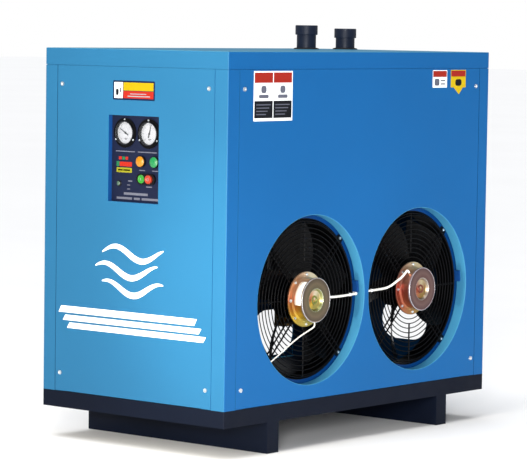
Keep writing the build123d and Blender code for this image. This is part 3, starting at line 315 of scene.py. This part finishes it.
# Flank and disc ramps: zinc tints with painted reflections and a painted highlight mixed in.
GOLD_TINTS_AND_REFLECTIONS = {
    "flank": ((0.0, srgb(150, 84, 58)), (0.12, srgb(206, 170, 60)), (0.25, srgb(150, 140, 70)),
              (0.5, srgb(176, 158, 96)), (0.7, srgb(214, 204, 176)), (0.88, srgb(200, 140, 100)),
              (1.0, srgb(150, 84, 58))),
    "disc": ((0.0, srgb(70, 82, 40)), (0.18, srgb(132, 138, 72)), (0.3, srgb(56, 72, 40)),
             (0.5, srgb(150, 150, 96)), (0.56, srgb(96, 88, 66)), (0.75, srgb(112, 98, 78)),
             (0.95, srgb(84, 74, 62)), (1.0, srgb(176, 150, 140))),
}
ROSE_TINTS_AND_REFLECTIONS = {
    "flank": ((0.0, srgb(138, 66, 54)), (0.14, srgb(176, 104, 74)), (0.3, srgb(150, 124, 66)),
              (0.55, srgb(160, 130, 92)), (0.72, srgb(200, 186, 150)), (0.88, srgb(176, 128, 110)),
              (1.0, srgb(138, 66, 54))),
    "disc": ((0.0, srgb(104, 96, 52)), (0.18, srgb(136, 70, 66)), (0.3, srgb(72, 84, 46)),
             (0.5, srgb(160, 144, 128)), (0.56, srgb(104, 76, 72)), (0.75, srgb(118, 92, 88)),
             (0.95, srgb(92, 70, 70)), (1.0, srgb(182, 150, 158))),
}
M = {
    "blue": cabinet_paint("cabinet_blue"),
    "fan_panel": drawn_panel_paint("fan_panel_blue"),
    "shroud": collared_paint("shroud_paint", srgb(3, 3, 4)),
    "navy": surface("navy", NAVY, 0.14, 3.0, (0.4, 0.52), specular=0.08),
    "pipe_navy": surface("pipe_navy", srgb(26, 33, 50), 0.12, 12.0, (0.4, 0.52), specular=0.2),
    "plate": surface("plate_navy", PLATE_NAVY, 0.07, 14.0, (0.4, 0.5), specular=0.12),
    # Darker blue of the recess walls and the collar shadow tab: painted shade.
    "recess": surface("recess_shade_blue", srgb(16, 66, 128), 0.06, 6.0, (0.36, 0.46)),
    "zinc": surface("bright_zinc", srgb(206, 212, 216), 0.1, 240.0, (0.2, 0.34), metallic=0.9),
    "bezel": surface("satin_bezel", srgb(58, 60, 66), 0.1, 240.0, (0.3, 0.42), metallic=0.7),
    "black_wire": surface("coated_wire", srgb(4, 4, 6), 0.2, 30.0, (0.36, 0.5), specular=0.1),
    "motor_front": passivated("motor_zinc_front", FAN_Y["front"], GOLD_TINTS_AND_REFLECTIONS),
    "motor_rear": passivated("motor_zinc_rear", FAN_Y["rear"], ROSE_TINTS_AND_REFLECTIONS),
    "fan_front": fan_black("fan_black_front", FAN_Y["front"]),
    "fan_rear": fan_black("fan_black_rear", FAN_Y["rear"]),
    "black_plastic": surface("black_plastic", srgb(13, 13, 15), 0.15, 90.0, (0.34, 0.5),
                             peel=(1400.0, 0.00006, 0.5), specular=0.12),
    "gauge_black": surface("gauge_black", srgb(7, 7, 9), 0.15, 60.0, (0.3, 0.4), specular=0.08),
    "needle": surface("needle_black", srgb(14, 14, 16), 0.15, 300.0, (0.5, 0.6)),
    "dial": surface("dial_white", (0.36, 0.37, 0.41, 1), 0.02, 40.0, (0.4, 0.5), specular=0.15),
    "glass": clear_glass(),
    "yellow_lens": lens("yellow_lens", (0.34, 0.13, 0.002, 1), 0.3),
    "green_lens": lens("green_lens", (0.008, 0.15, 0.045, 1), 0.3),
    "green_button": surface("green_button", (0.02, 0.19, 0.015, 1), 0.06, 90.0, (0.25, 0.35), coat=0.3),
    "red_button": surface("red_button", (0.30, 0.028, 0.010, 1), 0.06, 90.0, (0.25, 0.35), coat=0.3),
    "jewel": surface("indicator_grey_green", (0.045, 0.085, 0.060, 1), 0.12, 300.0, (0.12, 0.2), coat=0.5),
    "rubber": surface("black_rubber", srgb(24, 24, 26), 0.15, 60.0, (0.6, 0.75), peel=(900.0, 0.0001, 0.5)),
    "sheath": surface("white_sheath", srgb(232, 230, 222), 0.05, 160.0, (0.4, 0.55),
                      peel=(700.0, 0.00008, 0.4)),
    "foam": surface("vessel_foam", srgb(30, 31, 34), 0.25, 60.0, (0.75, 0.9), peel=(380.0, 0.0006, 0.7)),
    "cast": surface("cast_aluminium", srgb(96, 98, 102), 0.1, 90.0, (0.35, 0.5), metallic=0.85,
                    peel=(800.0, 0.0002, 0.6)),
    "brass": surface("brass", srgb(140, 110, 62), 0.1, 80.0, (0.22, 0.36), metallic=0.95),
    "copper": surface("copper", srgb(196, 120, 82), 0.14, 60.0, (0.24, 0.4), metallic=0.95),
    "compressor": surface("compressor_enamel", srgb(17, 17, 19), 0.2, 14.0, (0.3, 0.42), coat=0.25,
                          peel=(160.0, 0.0003, 0.4)),
    "fins": surface("fin_aluminium", srgb(150, 153, 158), 0.12, 30.0, (0.32, 0.46), metallic=0.85,
                    stretch=(1, 1, 6)),
    "drier": surface("drier_enamel", srgb(40, 96, 62), 0.08, 30.0, (0.3, 0.4)),
    "white_print": surface("white_vinyl", srgb(246, 248, 250), 0.015, 30.0, (0.4, 0.5)),
    "grey_print": surface("grey_print", (0.10, 0.105, 0.14, 1), 0.05, 120.0, (0.42, 0.52), specular=0.15),
    "pale_print": surface("pale_print", (0.22, 0.23, 0.26, 1), 0.05, 120.0, (0.42, 0.52), specular=0.15),
    "black_print": surface("black_print", (0.004, 0.005, 0.008, 1), 0.1, 120.0, (0.42, 0.52), specular=0.1),
    "yellow_print": surface("yellow_print", (0.34, 0.235, 0.002, 1), 0.03, 60.0, (0.4, 0.5), specular=0.12),
    # A brighter copy of the yellow print for the side face: painted light.
    "side_lit_yellow_print": surface("side_lit_yellow_print", (0.54, 0.38, 0.004, 1), 0.03, 60.0, (0.4, 0.5), specular=0.12),
    "red_print": surface("red_print", (0.30, 0.016, 0.008, 1), 0.04, 60.0, (0.4, 0.5), specular=0.12),
    "green_print": surface("green_print", (0.012, 0.11, 0.045, 1), 0.05, 60.0, (0.4, 0.5), specular=0.12),
    "olive_print": surface("olive_print", (0.20, 0.19, 0.010, 1), 0.04, 60.0, (0.4, 0.5), specular=0.12),
    "border_print": surface("border_print", (0.004, 0.009, 0.035, 1), 0.06, 60.0, (0.4, 0.5), specular=0.1),
    "blank_plate": surface("blank_nameplate", srgb(232, 230, 220), 0.04, 200.0, (0.3, 0.42)),
}
NODE_FINISH = {
    "blue": "post_front_left post_front_right post_rear_left post_rear_right top_frame top_cover "
            "front_panel rear_panel left_panel",
    "fan_panel": "right_panel",
    "shroud": "front_fan_shroud rear_fan_shroud",
    "navy": "base_tray skid_front skid_rear",
    "pipe_navy": "air_inlet_pipe air_outlet_pipe pipe_sockets",
    "plate": "instrument_plate",
    "recess": "instrument_recess",
    "zinc": "skid_bolts panel_screws fan_fasteners fan_bearings front_fan_shaft rear_fan_shaft "
            "compressor_mounts",
    "black_wire": "front_fan_guard rear_fan_guard left_intake_guard",
    "motor_front": "front_fan_motor",
    "motor_rear": "rear_fan_motor",
    "fan_front": "front_fan_impeller",
    "fan_rear": "rear_fan_impeller",
    "black_plastic": "button_housing lamp_bodies cable_gland contactor_box",
    "gauge_black": "gauge_cases",
    "needle": "gauge_pointer_left gauge_pointer_right",
    "dial": "gauge_dials",
    "glass": "gauge_lenses",
    "yellow_lens": "yellow_lamp_lens",
    "green_lens": "green_lamp_lens",
    "green_button": "start_button",
    "red_button": "stop_button",
    "rubber": "pipe_grommets",
    "sheath": "front_fan_cable rear_fan_cable",
    "foam": "heat_exchanger",
    "cast": "water_separator",
    "brass": "drain_valve drain_line",
    "compressor": "compressor",
    "fins": "condenser_coil",
    "copper": "discharge_line liquid_line suction_line",
    "drier": "filter_drier",
}
for finish, names in NODE_FINISH.items():
    for name in names.split():
        slots = nodes[name].material_slots
        if not slots:
            nodes[name].data.materials.append(M[finish])
        for material_slot in slots:
            material_slot.material = M[finish]


# === mesh helpers ============================================================================


class Shape:
    """Builds one mesh piece out of simple outlines, each with its own material."""

    def __init__(self, name, slot, body="cabinet"):
        self.name, self.slot_name, self.body = name, slot, body
        self.bm = bmesh.new()
        self.materials = []

    def index(self, finish):
        if finish not in self.materials:
            self.materials.append(finish)
        return self.materials.index(finish)

    def face(self, corners, finish, smooth=False):
        made = self.bm.faces.new(corners)
        made.material_index = self.index(finish)
        made.smooth = smooth

    def verts(self, points):
        return [self.bm.verts.new(point) for point in points]

    def prism(self, low_points, high_points, finish):
        """A closed solid between two matching outlines."""
        low, high = self.verts(low_points), self.verts(high_points)
        self.face(low[::-1], finish)
        self.face(high, finish)
        for i in range(len(low)):
            j = (i + 1) % len(low)
            self.face([low[i], low[j], high[j], high[i]], finish)

    def rings(self, loops, finish, closed=False, capped=False, smooth=True):
        """Skin over a run of equal loops of points."""
        rows = [self.verts(loop) for loop in loops]
        pairs = list(zip(rows, rows[1:]))
        if closed:
            pairs.append((rows[-1], rows[0]))
        for a, b in pairs:
            for i in range(len(a)):
                j = (i + 1) % len(a)
                self.face([a[i], a[j], b[j], b[i]], finish, smooth)
        if capped:
            self.face(rows[0][::-1], finish)
            self.face(rows[-1], finish)

    def done(self, replaces=()):
        bmesh.ops.recalc_face_normals(self.bm, faces=self.bm.faces)
        mesh = bpy.data.meshes.new(self.name)
        self.bm.to_mesh(mesh)
        self.bm.free()
        for finish in self.materials:
            mesh.materials.append(M[finish])
        piece = bpy.data.objects.new(self.name, mesh)
        bpy.context.scene.collection.objects.link(piece)
        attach(piece, self.body)
        if replaces:
            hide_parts(*replaces)
        return piece


def on_front(u, v, w):
    return Vector((u * MM, FACE_Y - w * MM, v * MM))


def on_plate(u, v, w):
    return Vector((u * MM, PLATE_Y - w * MM, v * MM))


def on_dial(u, v, w):
    return Vector((u * MM, PLATE_Y + 2 * MM - w * MM, v * MM))


def on_side(u, v, w):
    return Vector((SIDE_X + w * MM, u * MM, v * MM))


def rounded(u, v, radius, steps=4):
    """The outline of a rectangle with rounded corners."""
    points = []
    for cu, cv, start in ((u[1], v[1], 0), (u[0], v[1], 90), (u[0], v[0], 180), (u[1], v[0], 270)):
        cu += -radius if start in (0, 270) else radius
        cv += -radius if start in (0, 90) else radius
        for step in range(steps + 1):
            a = math.radians(start + 90 * step / steps)
            points.append((cu + radius * math.cos(a), cv + radius * math.sin(a)))
    return points


def patch(shape, place, u, v, finish, low=0.0, high=0.25, radius=1.0):
    """A thin printed block with rounded corners."""
    outline = rounded(u, v, radius)
    shape.prism([place(a, b, low) for a, b in outline], [place(a, b, high) for a, b in outline], finish)


def polygon(shape, place, points, finish, low=0.0, high=0.25):
    shape.prism([place(a, b, low) for a, b in points], [place(a, b, high) for a, b in points], finish)


def ribbon(shape, place, centre, widths, finish, high=0.25):
    """A flat band of changing width along a line."""
    left, right = [], []
    for i, (a, b) in enumerate(centre):
        before, after = centre[max(i - 1, 0)], centre[min(i + 1, len(centre) - 1)]
        du, dv = after[0] - before[0], after[1] - before[1]
        length = math.hypot(du, dv)
        nu, nv = -dv / length * widths[i] / 2, du / length * widths[i] / 2
        left.append((a + nu, b + nv))
        right.append((a - nu, b - nv))
    for i in range(len(centre) - 1):
        quad = (left[i], right[i], right[i + 1], left[i + 1])
        rows = [[place(a, b, w) for a, b in quad] for w in (0.0, high)]
        low, top = shape.verts(rows[0]), shape.verts(rows[1])
        shape.face(top, finish)
        shape.face([low[0], low[3], top[3], top[0]], finish)
        shape.face([low[1], low[2], top[2], top[1]], finish)
        shape.face(low[::-1], finish)
        if i in (0, len(centre) - 2):
            a, b = ((0, 1), (2, 3))[i != 0]
            shape.face([low[a], low[b], top[b], top[a]], finish)


def circle_loop(centre, first, second, radius, count):
    return [
        centre + (first * math.cos(a) + second * math.sin(a)) * radius
        for a in (math.tau * i / count for i in range(count))
    ]


def wire_ring(shape, centre, axis, radius, wire, finish, around=96, section=10):
    """A round ring of round wire."""
    side = axis.orthogonal().normalized()
    up = axis.cross(side)
    loops = []
    for i in range(around):
        a = math.tau * i / around
        out = side * math.cos(a) + up * math.sin(a)
        loops.append(circle_loop(centre + out * radius, out, axis, wire, section))
    shape.rings(loops, finish, closed=True)


def wire_rod(shape, start, end, wire, finish, section=12):
    """A straight round rod with softened ends."""
    run = (end - start).normalized()
    side = run.orthogonal().normalized()
    up = run.cross(side)
    stations = (
        (start, 0.55), (start + run * wire * 0.35, 0.9), (start + run * wire, 1.0),
        (end - run * wire, 1.0), (end - run * wire * 0.35, 0.9), (end, 0.55),
    )
    shape.rings([circle_loop(p, side, up, wire * k, section) for p, k in stations], finish, capped=True)


def lathe(shape, origin, axis, outline, finish, around=64):
    """Revolve an (along, radius) outline about an axis; both ends of the outline are closed over."""
    side = axis.orthogonal().normalized()
    up = axis.cross(side)
    loops = [
        circle_loop(origin + axis * along * MM, side, up, max(radius, 0.01) * MM, around)
        for along, radius in outline
    ]
    shape.rings(loops, finish, capped=True)


# === the wire guards =========================================================================

X_AXIS = Vector((1, 0, 0))
FRONTWARD = Vector((0, -1, 0))
ROD_X, RING_X = 318.0, 321.5
LUG_BASE_X, LUG_TOP_X, SHADOW_TAB_TOP_X = 314.1, 316.0, 330.0
RING_RADII = range(94, 221, 14)
RIM_RADIUS = 226
RING_WIRE, ROD_WIRE, RIM_WIRE = 1.5 * MM, 2.5 * MM, 2.2 * MM
PAIRED_ROD_ANGLES = (45, 135, 225, 315)
SINGLE_ROD_ANGLES = (0, 90, 180, 270)
SHADOW_TAB_ARC = (1.5, 5.5, 9.5)


def fan_point(fan_y, x, radius, angle, offset=0.0):
    """A point given in millimetres by its radius and angle about the fan's axis."""
    a = math.radians(angle)
    return Vector((
        x * MM,
        fan_y + (radius * math.cos(a) - offset * math.sin(a)) * MM,
        FAN_Z + (radius * math.sin(a) + offset * math.cos(a)) * MM,
    ))


for place, fan_y in FAN_Y.items():
    centre = Vector((0, fan_y, FAN_Z))
    guard = Shape(f"{place}_guard_wirework", "guard_black")
    for radius in RING_RADII:
        wire_ring(guard, centre + X_AXIS * RING_X * MM, X_AXIS, radius * MM, RING_WIRE, "black_wire")
    wire_ring(guard, centre + X_AXIS * ROD_X * MM, X_AXIS, RIM_RADIUS * MM, RIM_WIRE, "black_wire",
              section=12)
    for angle in PAIRED_ROD_ANGLES:
        for offset in (-9, 9):
            wire_rod(guard, fan_point(fan_y, ROD_X, 70, angle, offset),
                     fan_point(fan_y, ROD_X, 232, angle, offset), ROD_WIRE, "black_wire")
        outline = rounded((225, 242), (-14, 14), 4.0)
        guard.prism([fan_point(fan_y, LUG_BASE_X, u, angle, v) for u, v in outline],
                    [fan_point(fan_y, LUG_TOP_X, u, angle, v) for u, v in outline], "black_wire")
    for angle in SINGLE_ROD_ANGLES:
        wire_rod(guard, fan_point(fan_y, ROD_X, 107, angle),
                 fan_point(fan_y, ROD_X, RIM_RADIUS, angle), ROD_WIRE, "black_wire")
    # A guard mounting tab in the dark recess blue: a painted shadow where the motor's shadow falls on the
    # collar.
    shadow_tab = [(236, angle) for angle in SHADOW_TAB_ARC] + [(244.3, angle) for angle in reversed(SHADOW_TAB_ARC)]
    guard.prism([fan_point(fan_y, LUG_BASE_X, *corner) for corner in shadow_tab],
                [fan_point(fan_y, SHADOW_TAB_TOP_X, *corner) for corner in shadow_tab], "recess")
    flat = ((319.5, 45.5), (319.5, 78.5), (320, 79), (322.5, 79), (323, 78.5), (323, 45.5))
    side, up = Vector((0, 1, 0)), Vector((0, 0, 1))
    loops = [circle_loop(centre + X_AXIS * x * MM, side, up, r * MM, 72) for x, r in flat]
    guard.rings(loops, "black_wire", closed=True)
    guard.done(replaces=(f"{place}_fan_guard",))

# === front mark and labels (plain shapes only) ===============================================

WAVES = ((-118, 118, 556), (-144, 96, 506), (-118, 118, 456))
STRIPES = ((-289, 236, 370, 389), (-272, 253, 347.5, 363), (-255, 270, 325, 341))
mark = Shape("front_airflow_mark", "white_cable")
for row, (x_start, x_end, level) in enumerate(WAVES):
    count = 40
    line, widths = [], []
    for i in range(count + 1):
        t = i / count
        swing = math.sin(math.tau * (t * 1.15 + 0.08 * row))
        line.append((x_start + (x_end - x_start) * t, level + 19 * swing))
        widths.append(2.5 + 15.0 * math.sin(math.pi * t) ** 0.7)
    ribbon(mark, on_front, line, widths, "white_print")
mark.done()

stripes = Shape("front_stripe_band", "white_cable")
for x_start, x_end, low, high in STRIPES:
    polygon(stripes, on_front, ((x_start, low), (x_end, low), (x_end + 10, high), (x_start + 10, high)),
            "white_print")
stripes.done()

label = Shape("front_colour_label", "white_cable")
patch(label, on_front, (-82, 78), (994, 1049), "border_print", 0, 0.2, 3)
patch(label, on_front, (-77, -44.5), (999, 1044), "white_print", 0.2, 0.3, 1)
patch(label, on_front, (-42, 73), (1021, 1044), "yellow_print", 0.2, 0.3, 1)
patch(label, on_front, (-42, 73), (999, 1019.5), "red_print", 0.2, 0.3, 1)
patch(label, on_front, (-71, -60), (1007, 1025), "black_print", 0.3, 0.35, 3)
patch(label, on_front, (-57.5, -50), (1015, 1029), "grey_print", 0.3, 0.35, 3)
patch(label, on_front, (-26, 60), (1003.5, 1006.5), "pale_print", 0.3, 0.35, 1)
patch(label, on_front, (-16, 46), (1010.5, 1013), "pale_print", 0.3, 0.35, 1)
label.done()

side_labels = Shape("side_colour_labels", "white_cable")
patch(side_labels, on_side, (-511, -340), (944, 1084), "white_print", 0, 0.15, 2)
for u0, u1 in ((-507.5, -427.5), (-424, -343.5)):
    patch(side_labels, on_side, (u0, u1), (1051, 1080), "red_print", 0.15, 0.25, 1)
    patch(side_labels, on_side, (u0, u1), (1002, 1049.5), "white_print", 0.15, 0.25, 1)
    patch(side_labels, on_side, (u0, u1), (952, 1000.5), "black_print", 0.15, 0.25, 1)
    for line in range(4):
        v = 991 - line * 9
        patch(side_labels, on_side, (u0 + 8, u1 - 8 - 7 * line), (v - 2.8, v), "grey_print", 0.25, 0.3, 1)
    patch(side_labels, on_side, (u0 + 19, u0 + 62), (1008, 1018), "grey_print", 0.25, 0.3, 5)
    patch(side_labels, on_side, (u0 + 29, u0 + 52), (1022, 1043), "grey_print", 0.25, 0.3, 8)
patch(side_labels, on_side, (328, 401), (1031, 1083.5), "white_print", 0, 0.2, 2)
patch(side_labels, on_side, (330, 399), (1063, 1081.5), "red_print", 0.2, 0.3, 1)
patch(side_labels, on_side, (338, 362), (1037, 1058), "grey_print", 0.2, 0.3, 6)
patch(side_labels, on_side, (368, 391), (1040, 1044), "grey_print", 0.2, 0.3, 1)
patch(side_labels, on_side, (368, 391), (1050, 1054), "grey_print", 0.2, 0.3, 1)
# The side warning label uses the brighter yellow copy: painted light.
polygon(side_labels, on_side,
        ((420.5, 1031), (420.5, 1084), (498, 1084), (498, 1031), (484, 1031), (463, 1010), (436, 1031)),
        "side_lit_yellow_print", 0, 0.2)
patch(side_labels, on_side, (422.5, 496), (1064, 1082), "red_print", 0.2, 0.3, 1)
patch(side_labels, on_side, (444, 476), (1036, 1056), "black_print", 0.2, 0.3, 8)
side_labels.done()

# === control panel details ===================================================================

prints = Shape("panel_prints", "white_cable")
for u, v, finish in (
    ((-83, -9), (845.6, 848.4), "grey_print"),
    ((2, 75), (845.6, 848.4), "grey_print"),
    ((-71, -59), (823, 832), "red_print"),
    ((-57, -47), (823, 832), "green_print"),
    ((-45, -35), (823, 832), "red_print"),
    ((-80, -68.6), (804, 818), "green_print"),
    ((-67.4, -20), (804, 817), "red_print"),
    ((-79, -20), (786.5, 800.5), "olive_print"),
    ((-73, -56), (791.5, 795.5), "black_print"),
    ((-53, -27), (791.5, 795.5), "black_print"),
    ((8, 31), (793.8, 796.4), "grey_print"),
    ((58, 81), (793.8, 796.4), "grey_print"),
    ((35, 58), (747.6, 750.4), "grey_print"),
    ((-34, -18), (761.4, 764.6), "grey_print"),
    ((-38, -26), (750.2, 752.6), "grey_print"),
    ((-38, -26), (738.8, 741.2), "grey_print"),
    ((-50, 42), (723, 730), "grey_print"),
    ((-78, -18), (710, 716.5), "grey_print"),
    ((-11, 12), (710, 716.5), "grey_print"),
    ((19, 86), (710, 716.5), "grey_print"),
):
    patch(prints, on_plate, u, v, finish, 0, 0.12, 0.8)
prints.done()

scale = Shape("gauge_scales", "pointer_black")
bezels = Shape("gauge_bezels", "zinc_steel")
for gauge_x in GAUGE_X.values():
    ticks = 30
    for tick in range(ticks + 1):
        a = math.radians(225 - 270 * tick / ticks)
        major = tick % 5 == 0
        near, far, half = (21.5 if major else 24.2), 27.6, (0.42 if major else 0.22)
        c, s = math.cos(a), math.sin(a)
        corners = [
            (gauge_x + r * c - o * s, GAUGE_Z + r * s + o * c)
            for r, o in ((near, -half), (far, -half), (far, half), (near, half))
        ]
        polygon(scale, on_dial, corners, "black_print", 0, 0.06)
    arc = [math.radians(225 - 270 * i / 54) for i in range(55)]
    ribbon(scale, on_dial, [(gauge_x + 28.2 * math.cos(a), GAUGE_Z + 28.2 * math.sin(a)) for a in arc],
           [0.5] * 55, "black_print", 0.06)
    warm = [math.radians(10 - 50 * i / 12) for i in range(13)]
    ribbon(scale, on_dial, [(gauge_x + 29.2 * math.cos(a), GAUGE_Z + 29.2 * math.sin(a)) for a in warm],
           [1.0] * 13, "red_print", 0.06)
    patch(scale, on_dial, (gauge_x - 5.5, gauge_x + 5.5), (883.4, 885.0), "black_print", 0, 0.06, 0.3)
    patch(scale, on_dial, (gauge_x - 3.5, gauge_x + 3.5), (880.2, 881.4), "black_print", 0, 0.06, 0.3)
    front = Vector((gauge_x * MM, PLATE_Y - 6.4 * MM, GAUGE_Z * MM))
    wire_ring(bezels, front, FRONTWARD, 32.9 * MM, 0.8 * MM, "bezel", around=72)
scale.done()
bezels.done()

jewel = Shape("indicator_jewel", "lens_green")
lathe(jewel, Vector((-0.068, PLATE_Y, 0.755)), FRONTWARD,
      ((3.3, 6.0), (4.4, 6.2), (5.4, 5.4), (6.2, 3.6), (6.6, 1.6), (6.7, 0.2)), "jewel", 40)
jewel.done()

stop_mark = Shape("stop_button_ring", "white_cable", "stop_cap")
wire_ring(stop_mark, Vector((0.0535, PLATE_Y - 13.95 * MM, 0.771)), FRONTWARD, 3.6 * MM, 0.5 * MM,
          "pale_print", around=32, section=8)
stop_mark.done()
start_mark = Shape("start_button_bar", "white_cable", "start_cap")
outline = rounded((21.7, 23.3), (767.2, 774.8), 0.7)
start_mark.prism([on_plate(u, v, 8.85) for u, v in outline], [on_plate(u, v, 9.1) for u, v in outline],
                 "pale_print")
start_mark.done()

# === motor details ===========================================================================

plate = Shape("motor_nameplate", "white_cable")
arc = [math.radians(118 + 74 * i / 16) for i in range(17)]
for (a0, a1) in zip(arc, arc[1:]):
    corners = []
    for a in (a0, a1):
        for x in (334.5, 356.5):
            for r in (60.3, 61.0):
                corners.append(fan_point(FAN_Y["front"], x, r, math.degrees(a)))
    v = plate.verts(corners)
    for quad in ((1, 5, 7, 3), (0, 2, 6, 4), (0, 4, 5, 1), (2, 3, 7, 6)):
        plate.face([v[i] for i in quad], "blank_plate", True)
    if a0 == arc[0]:
        plate.face([v[i] for i in (0, 1, 3, 2)], "blank_plate")
    if a1 == arc[-1]:
        plate.face([v[i] for i in (4, 6, 7, 5)], "blank_plate")
bmesh.ops.remove_doubles(plate.bm, verts=plate.bm.verts, dist=1e-6)
plate.done()

rims = Shape("motor_bright_rims", "zinc_steel")
for fan_y in FAN_Y.values():
    centre = Vector((MOTOR_FACE_X, fan_y, FAN_Z))
    wire_ring(rims, centre, X_AXIS, 64.0 * MM, 1.0 * MM, "zinc")
    wire_ring(rims, centre, X_AXIS, 33.2 * MM, 0.7 * MM, "zinc")
rims.done()

ties = Shape("lead_ties", "white_cable")
for centre, axis in (
    ((0.3335, -0.038, 0.4271), (-0.1, 0.99, 0.02)),
    ((0.3300, -0.0065, 0.4279), (-0.5, 0.86, 0.03)),
    ((0.3302, 0.070, 0.4323), (0.02, -1.0, -0.02)),
):
    direction = Vector(axis).normalized()
    for shift in (-0.0016, 0.0016):
        wire_ring(ties, Vector(centre) + direction * shift, direction, 3.7 * MM, 0.9 * MM,
                  "white_print", around=24, section=8)
ties.done()

# === cooling coil fins =======================================================================

fins = Shape("coil_fin_stack", "coil_aluminium")
fin = -512.0
while fin < 213.0:
    for x0, x1 in ((-334.6, -332.8), (-282.2, -280.6)):
        outline = ((x0, fin), (x1, fin), (x1, fin + 0.6), (x0, fin + 0.6))
        fins.prism([Vector((x * MM, y * MM, 0.157)) for x, y in outline],
                   [Vector((x * MM, y * MM, 0.763)) for x, y in outline], "fins")
    fin += 4.0
fins.done()

# === stage ===================================================================================

floor_mesh = bpy.data.meshes.new("studio_floor")
reach = 60.0
floor_mesh.from_pydata([(-reach, -reach, 0), (reach, -reach, 0), (reach, reach, 0), (-reach, reach, 0)],
                       [], [(0, 1, 2, 3)])
floor = bpy.data.objects.new("studio_floor", floor_mesh)
bpy.context.scene.collection.objects.link(floor)
floor.location.z = -0.0005
floor_mesh.materials.append(surface("studio_floor", (0.93, 0.93, 0.935, 1), 0.01, 0.5, (0.6, 0.7),
                                    specular=0.2, peel=(3.0, 0.00001, 0.1)))

world = bpy.data.worlds.new("studio")
bpy.context.scene.world = world
world.use_nodes = True
sky = world.node_tree
sky.nodes.clear()
seen = sky.nodes.new("ShaderNodeBackground")
seen.inputs["Color"].default_value = (1, 1, 1, 1)
seen.inputs["Strength"].default_value = 1.0
fill = sky.nodes.new("ShaderNodeBackground")
fill.inputs["Color"].default_value = (0.93, 0.96, 1.0, 1)
fill.inputs["Strength"].default_value = 0.3
path = sky.nodes.new("ShaderNodeLightPath")
mix = sky.nodes.new("ShaderNodeMixShader")
out = sky.nodes.new("ShaderNodeOutputWorld")
sky.links.new(path.outputs["Is Camera Ray"], mix.inputs[0])
sky.links.new(fill.outputs[0], mix.inputs[1])
sky.links.new(seen.outputs[0], mix.inputs[2])
sky.links.new(mix.outputs[0], out.inputs["Surface"])


def lamp(name, kind, location, target, energy, **settings):
    data = bpy.data.lights.new(name, kind)
    data.energy = energy
    for key, value in settings.items():
        setattr(data, key, value)
    made = bpy.data.objects.new(name, data)
    made.location = location
    made.rotation_mode = "QUATERNION"
    made.rotation_quaternion = (Vector(target) - Vector(location)).to_track_quat("-Z", "Y")
    bpy.context.scene.collection.objects.link(made)


WARM = (1.0, 0.93, 0.78)
lamp("overhead", "SUN", (-0.3, -0.9, 6.0), (0, 0, 0), 2.6, angle=math.radians(50))
lamp("key", "AREA", (0.476, -3.4, 0.87), (0.3, -0.2, 0.42), 30.0, shape="DISK", size=0.12, color=WARM)
lamp("collar", "SPOT", (0.95, -4.0, 0.5), (0.34, 0.0, 0.45), 380.0,
     spot_size=math.radians(18), spot_blend=1.0, shadow_soft_size=0.08, color=WARM)
lamp("strip", "AREA", (0.355, -1.55, 0.72), (0.355, -0.6, 0.72), 17.0,
     shape="RECTANGLE", size=0.2, size_y=1.9, color=WARM)
lamp("bounce", "AREA", (2.0, 0.1, 0.08), (0.35, 0.3, 0.2), 16.0, shape="DISK", size=0.9)
lamp("fill", "AREA", (4.6, -5.9, 1.6), (0, 0, 0.55), 430.0, shape="DISK", size=1.4)

# === camera ==================================================================================

EYE = (5.35738, -6.48441, 1.21714)
SIGHT_LINE = (-0.63730, 0.76686, -0.07603)
LENS_LENGTH = 190.99742
TILT = math.radians(0.8501)

view = bpy.data.cameras.new("camera")
view.sensor_width = 36.0
view.lens = LENS_LENGTH
camera = bpy.data.objects.new("camera", view)
bpy.context.scene.collection.objects.link(camera)
forward = Vector(SIGHT_LINE).normalized()
level = forward.cross(Vector((0, 0, 1))).normalized()
upright = level.cross(forward)
right = level * math.cos(TILT) + upright * math.sin(TILT)
top = upright * math.cos(TILT) - level * math.sin(TILT)
turn = Matrix((right, top, -forward)).transposed().to_4x4()
camera.matrix_world = Matrix.Translation(EYE) @ turn
bpy.context.scene.camera = camera
bpy.context.scene.view_settings.view_transform = "Standard"
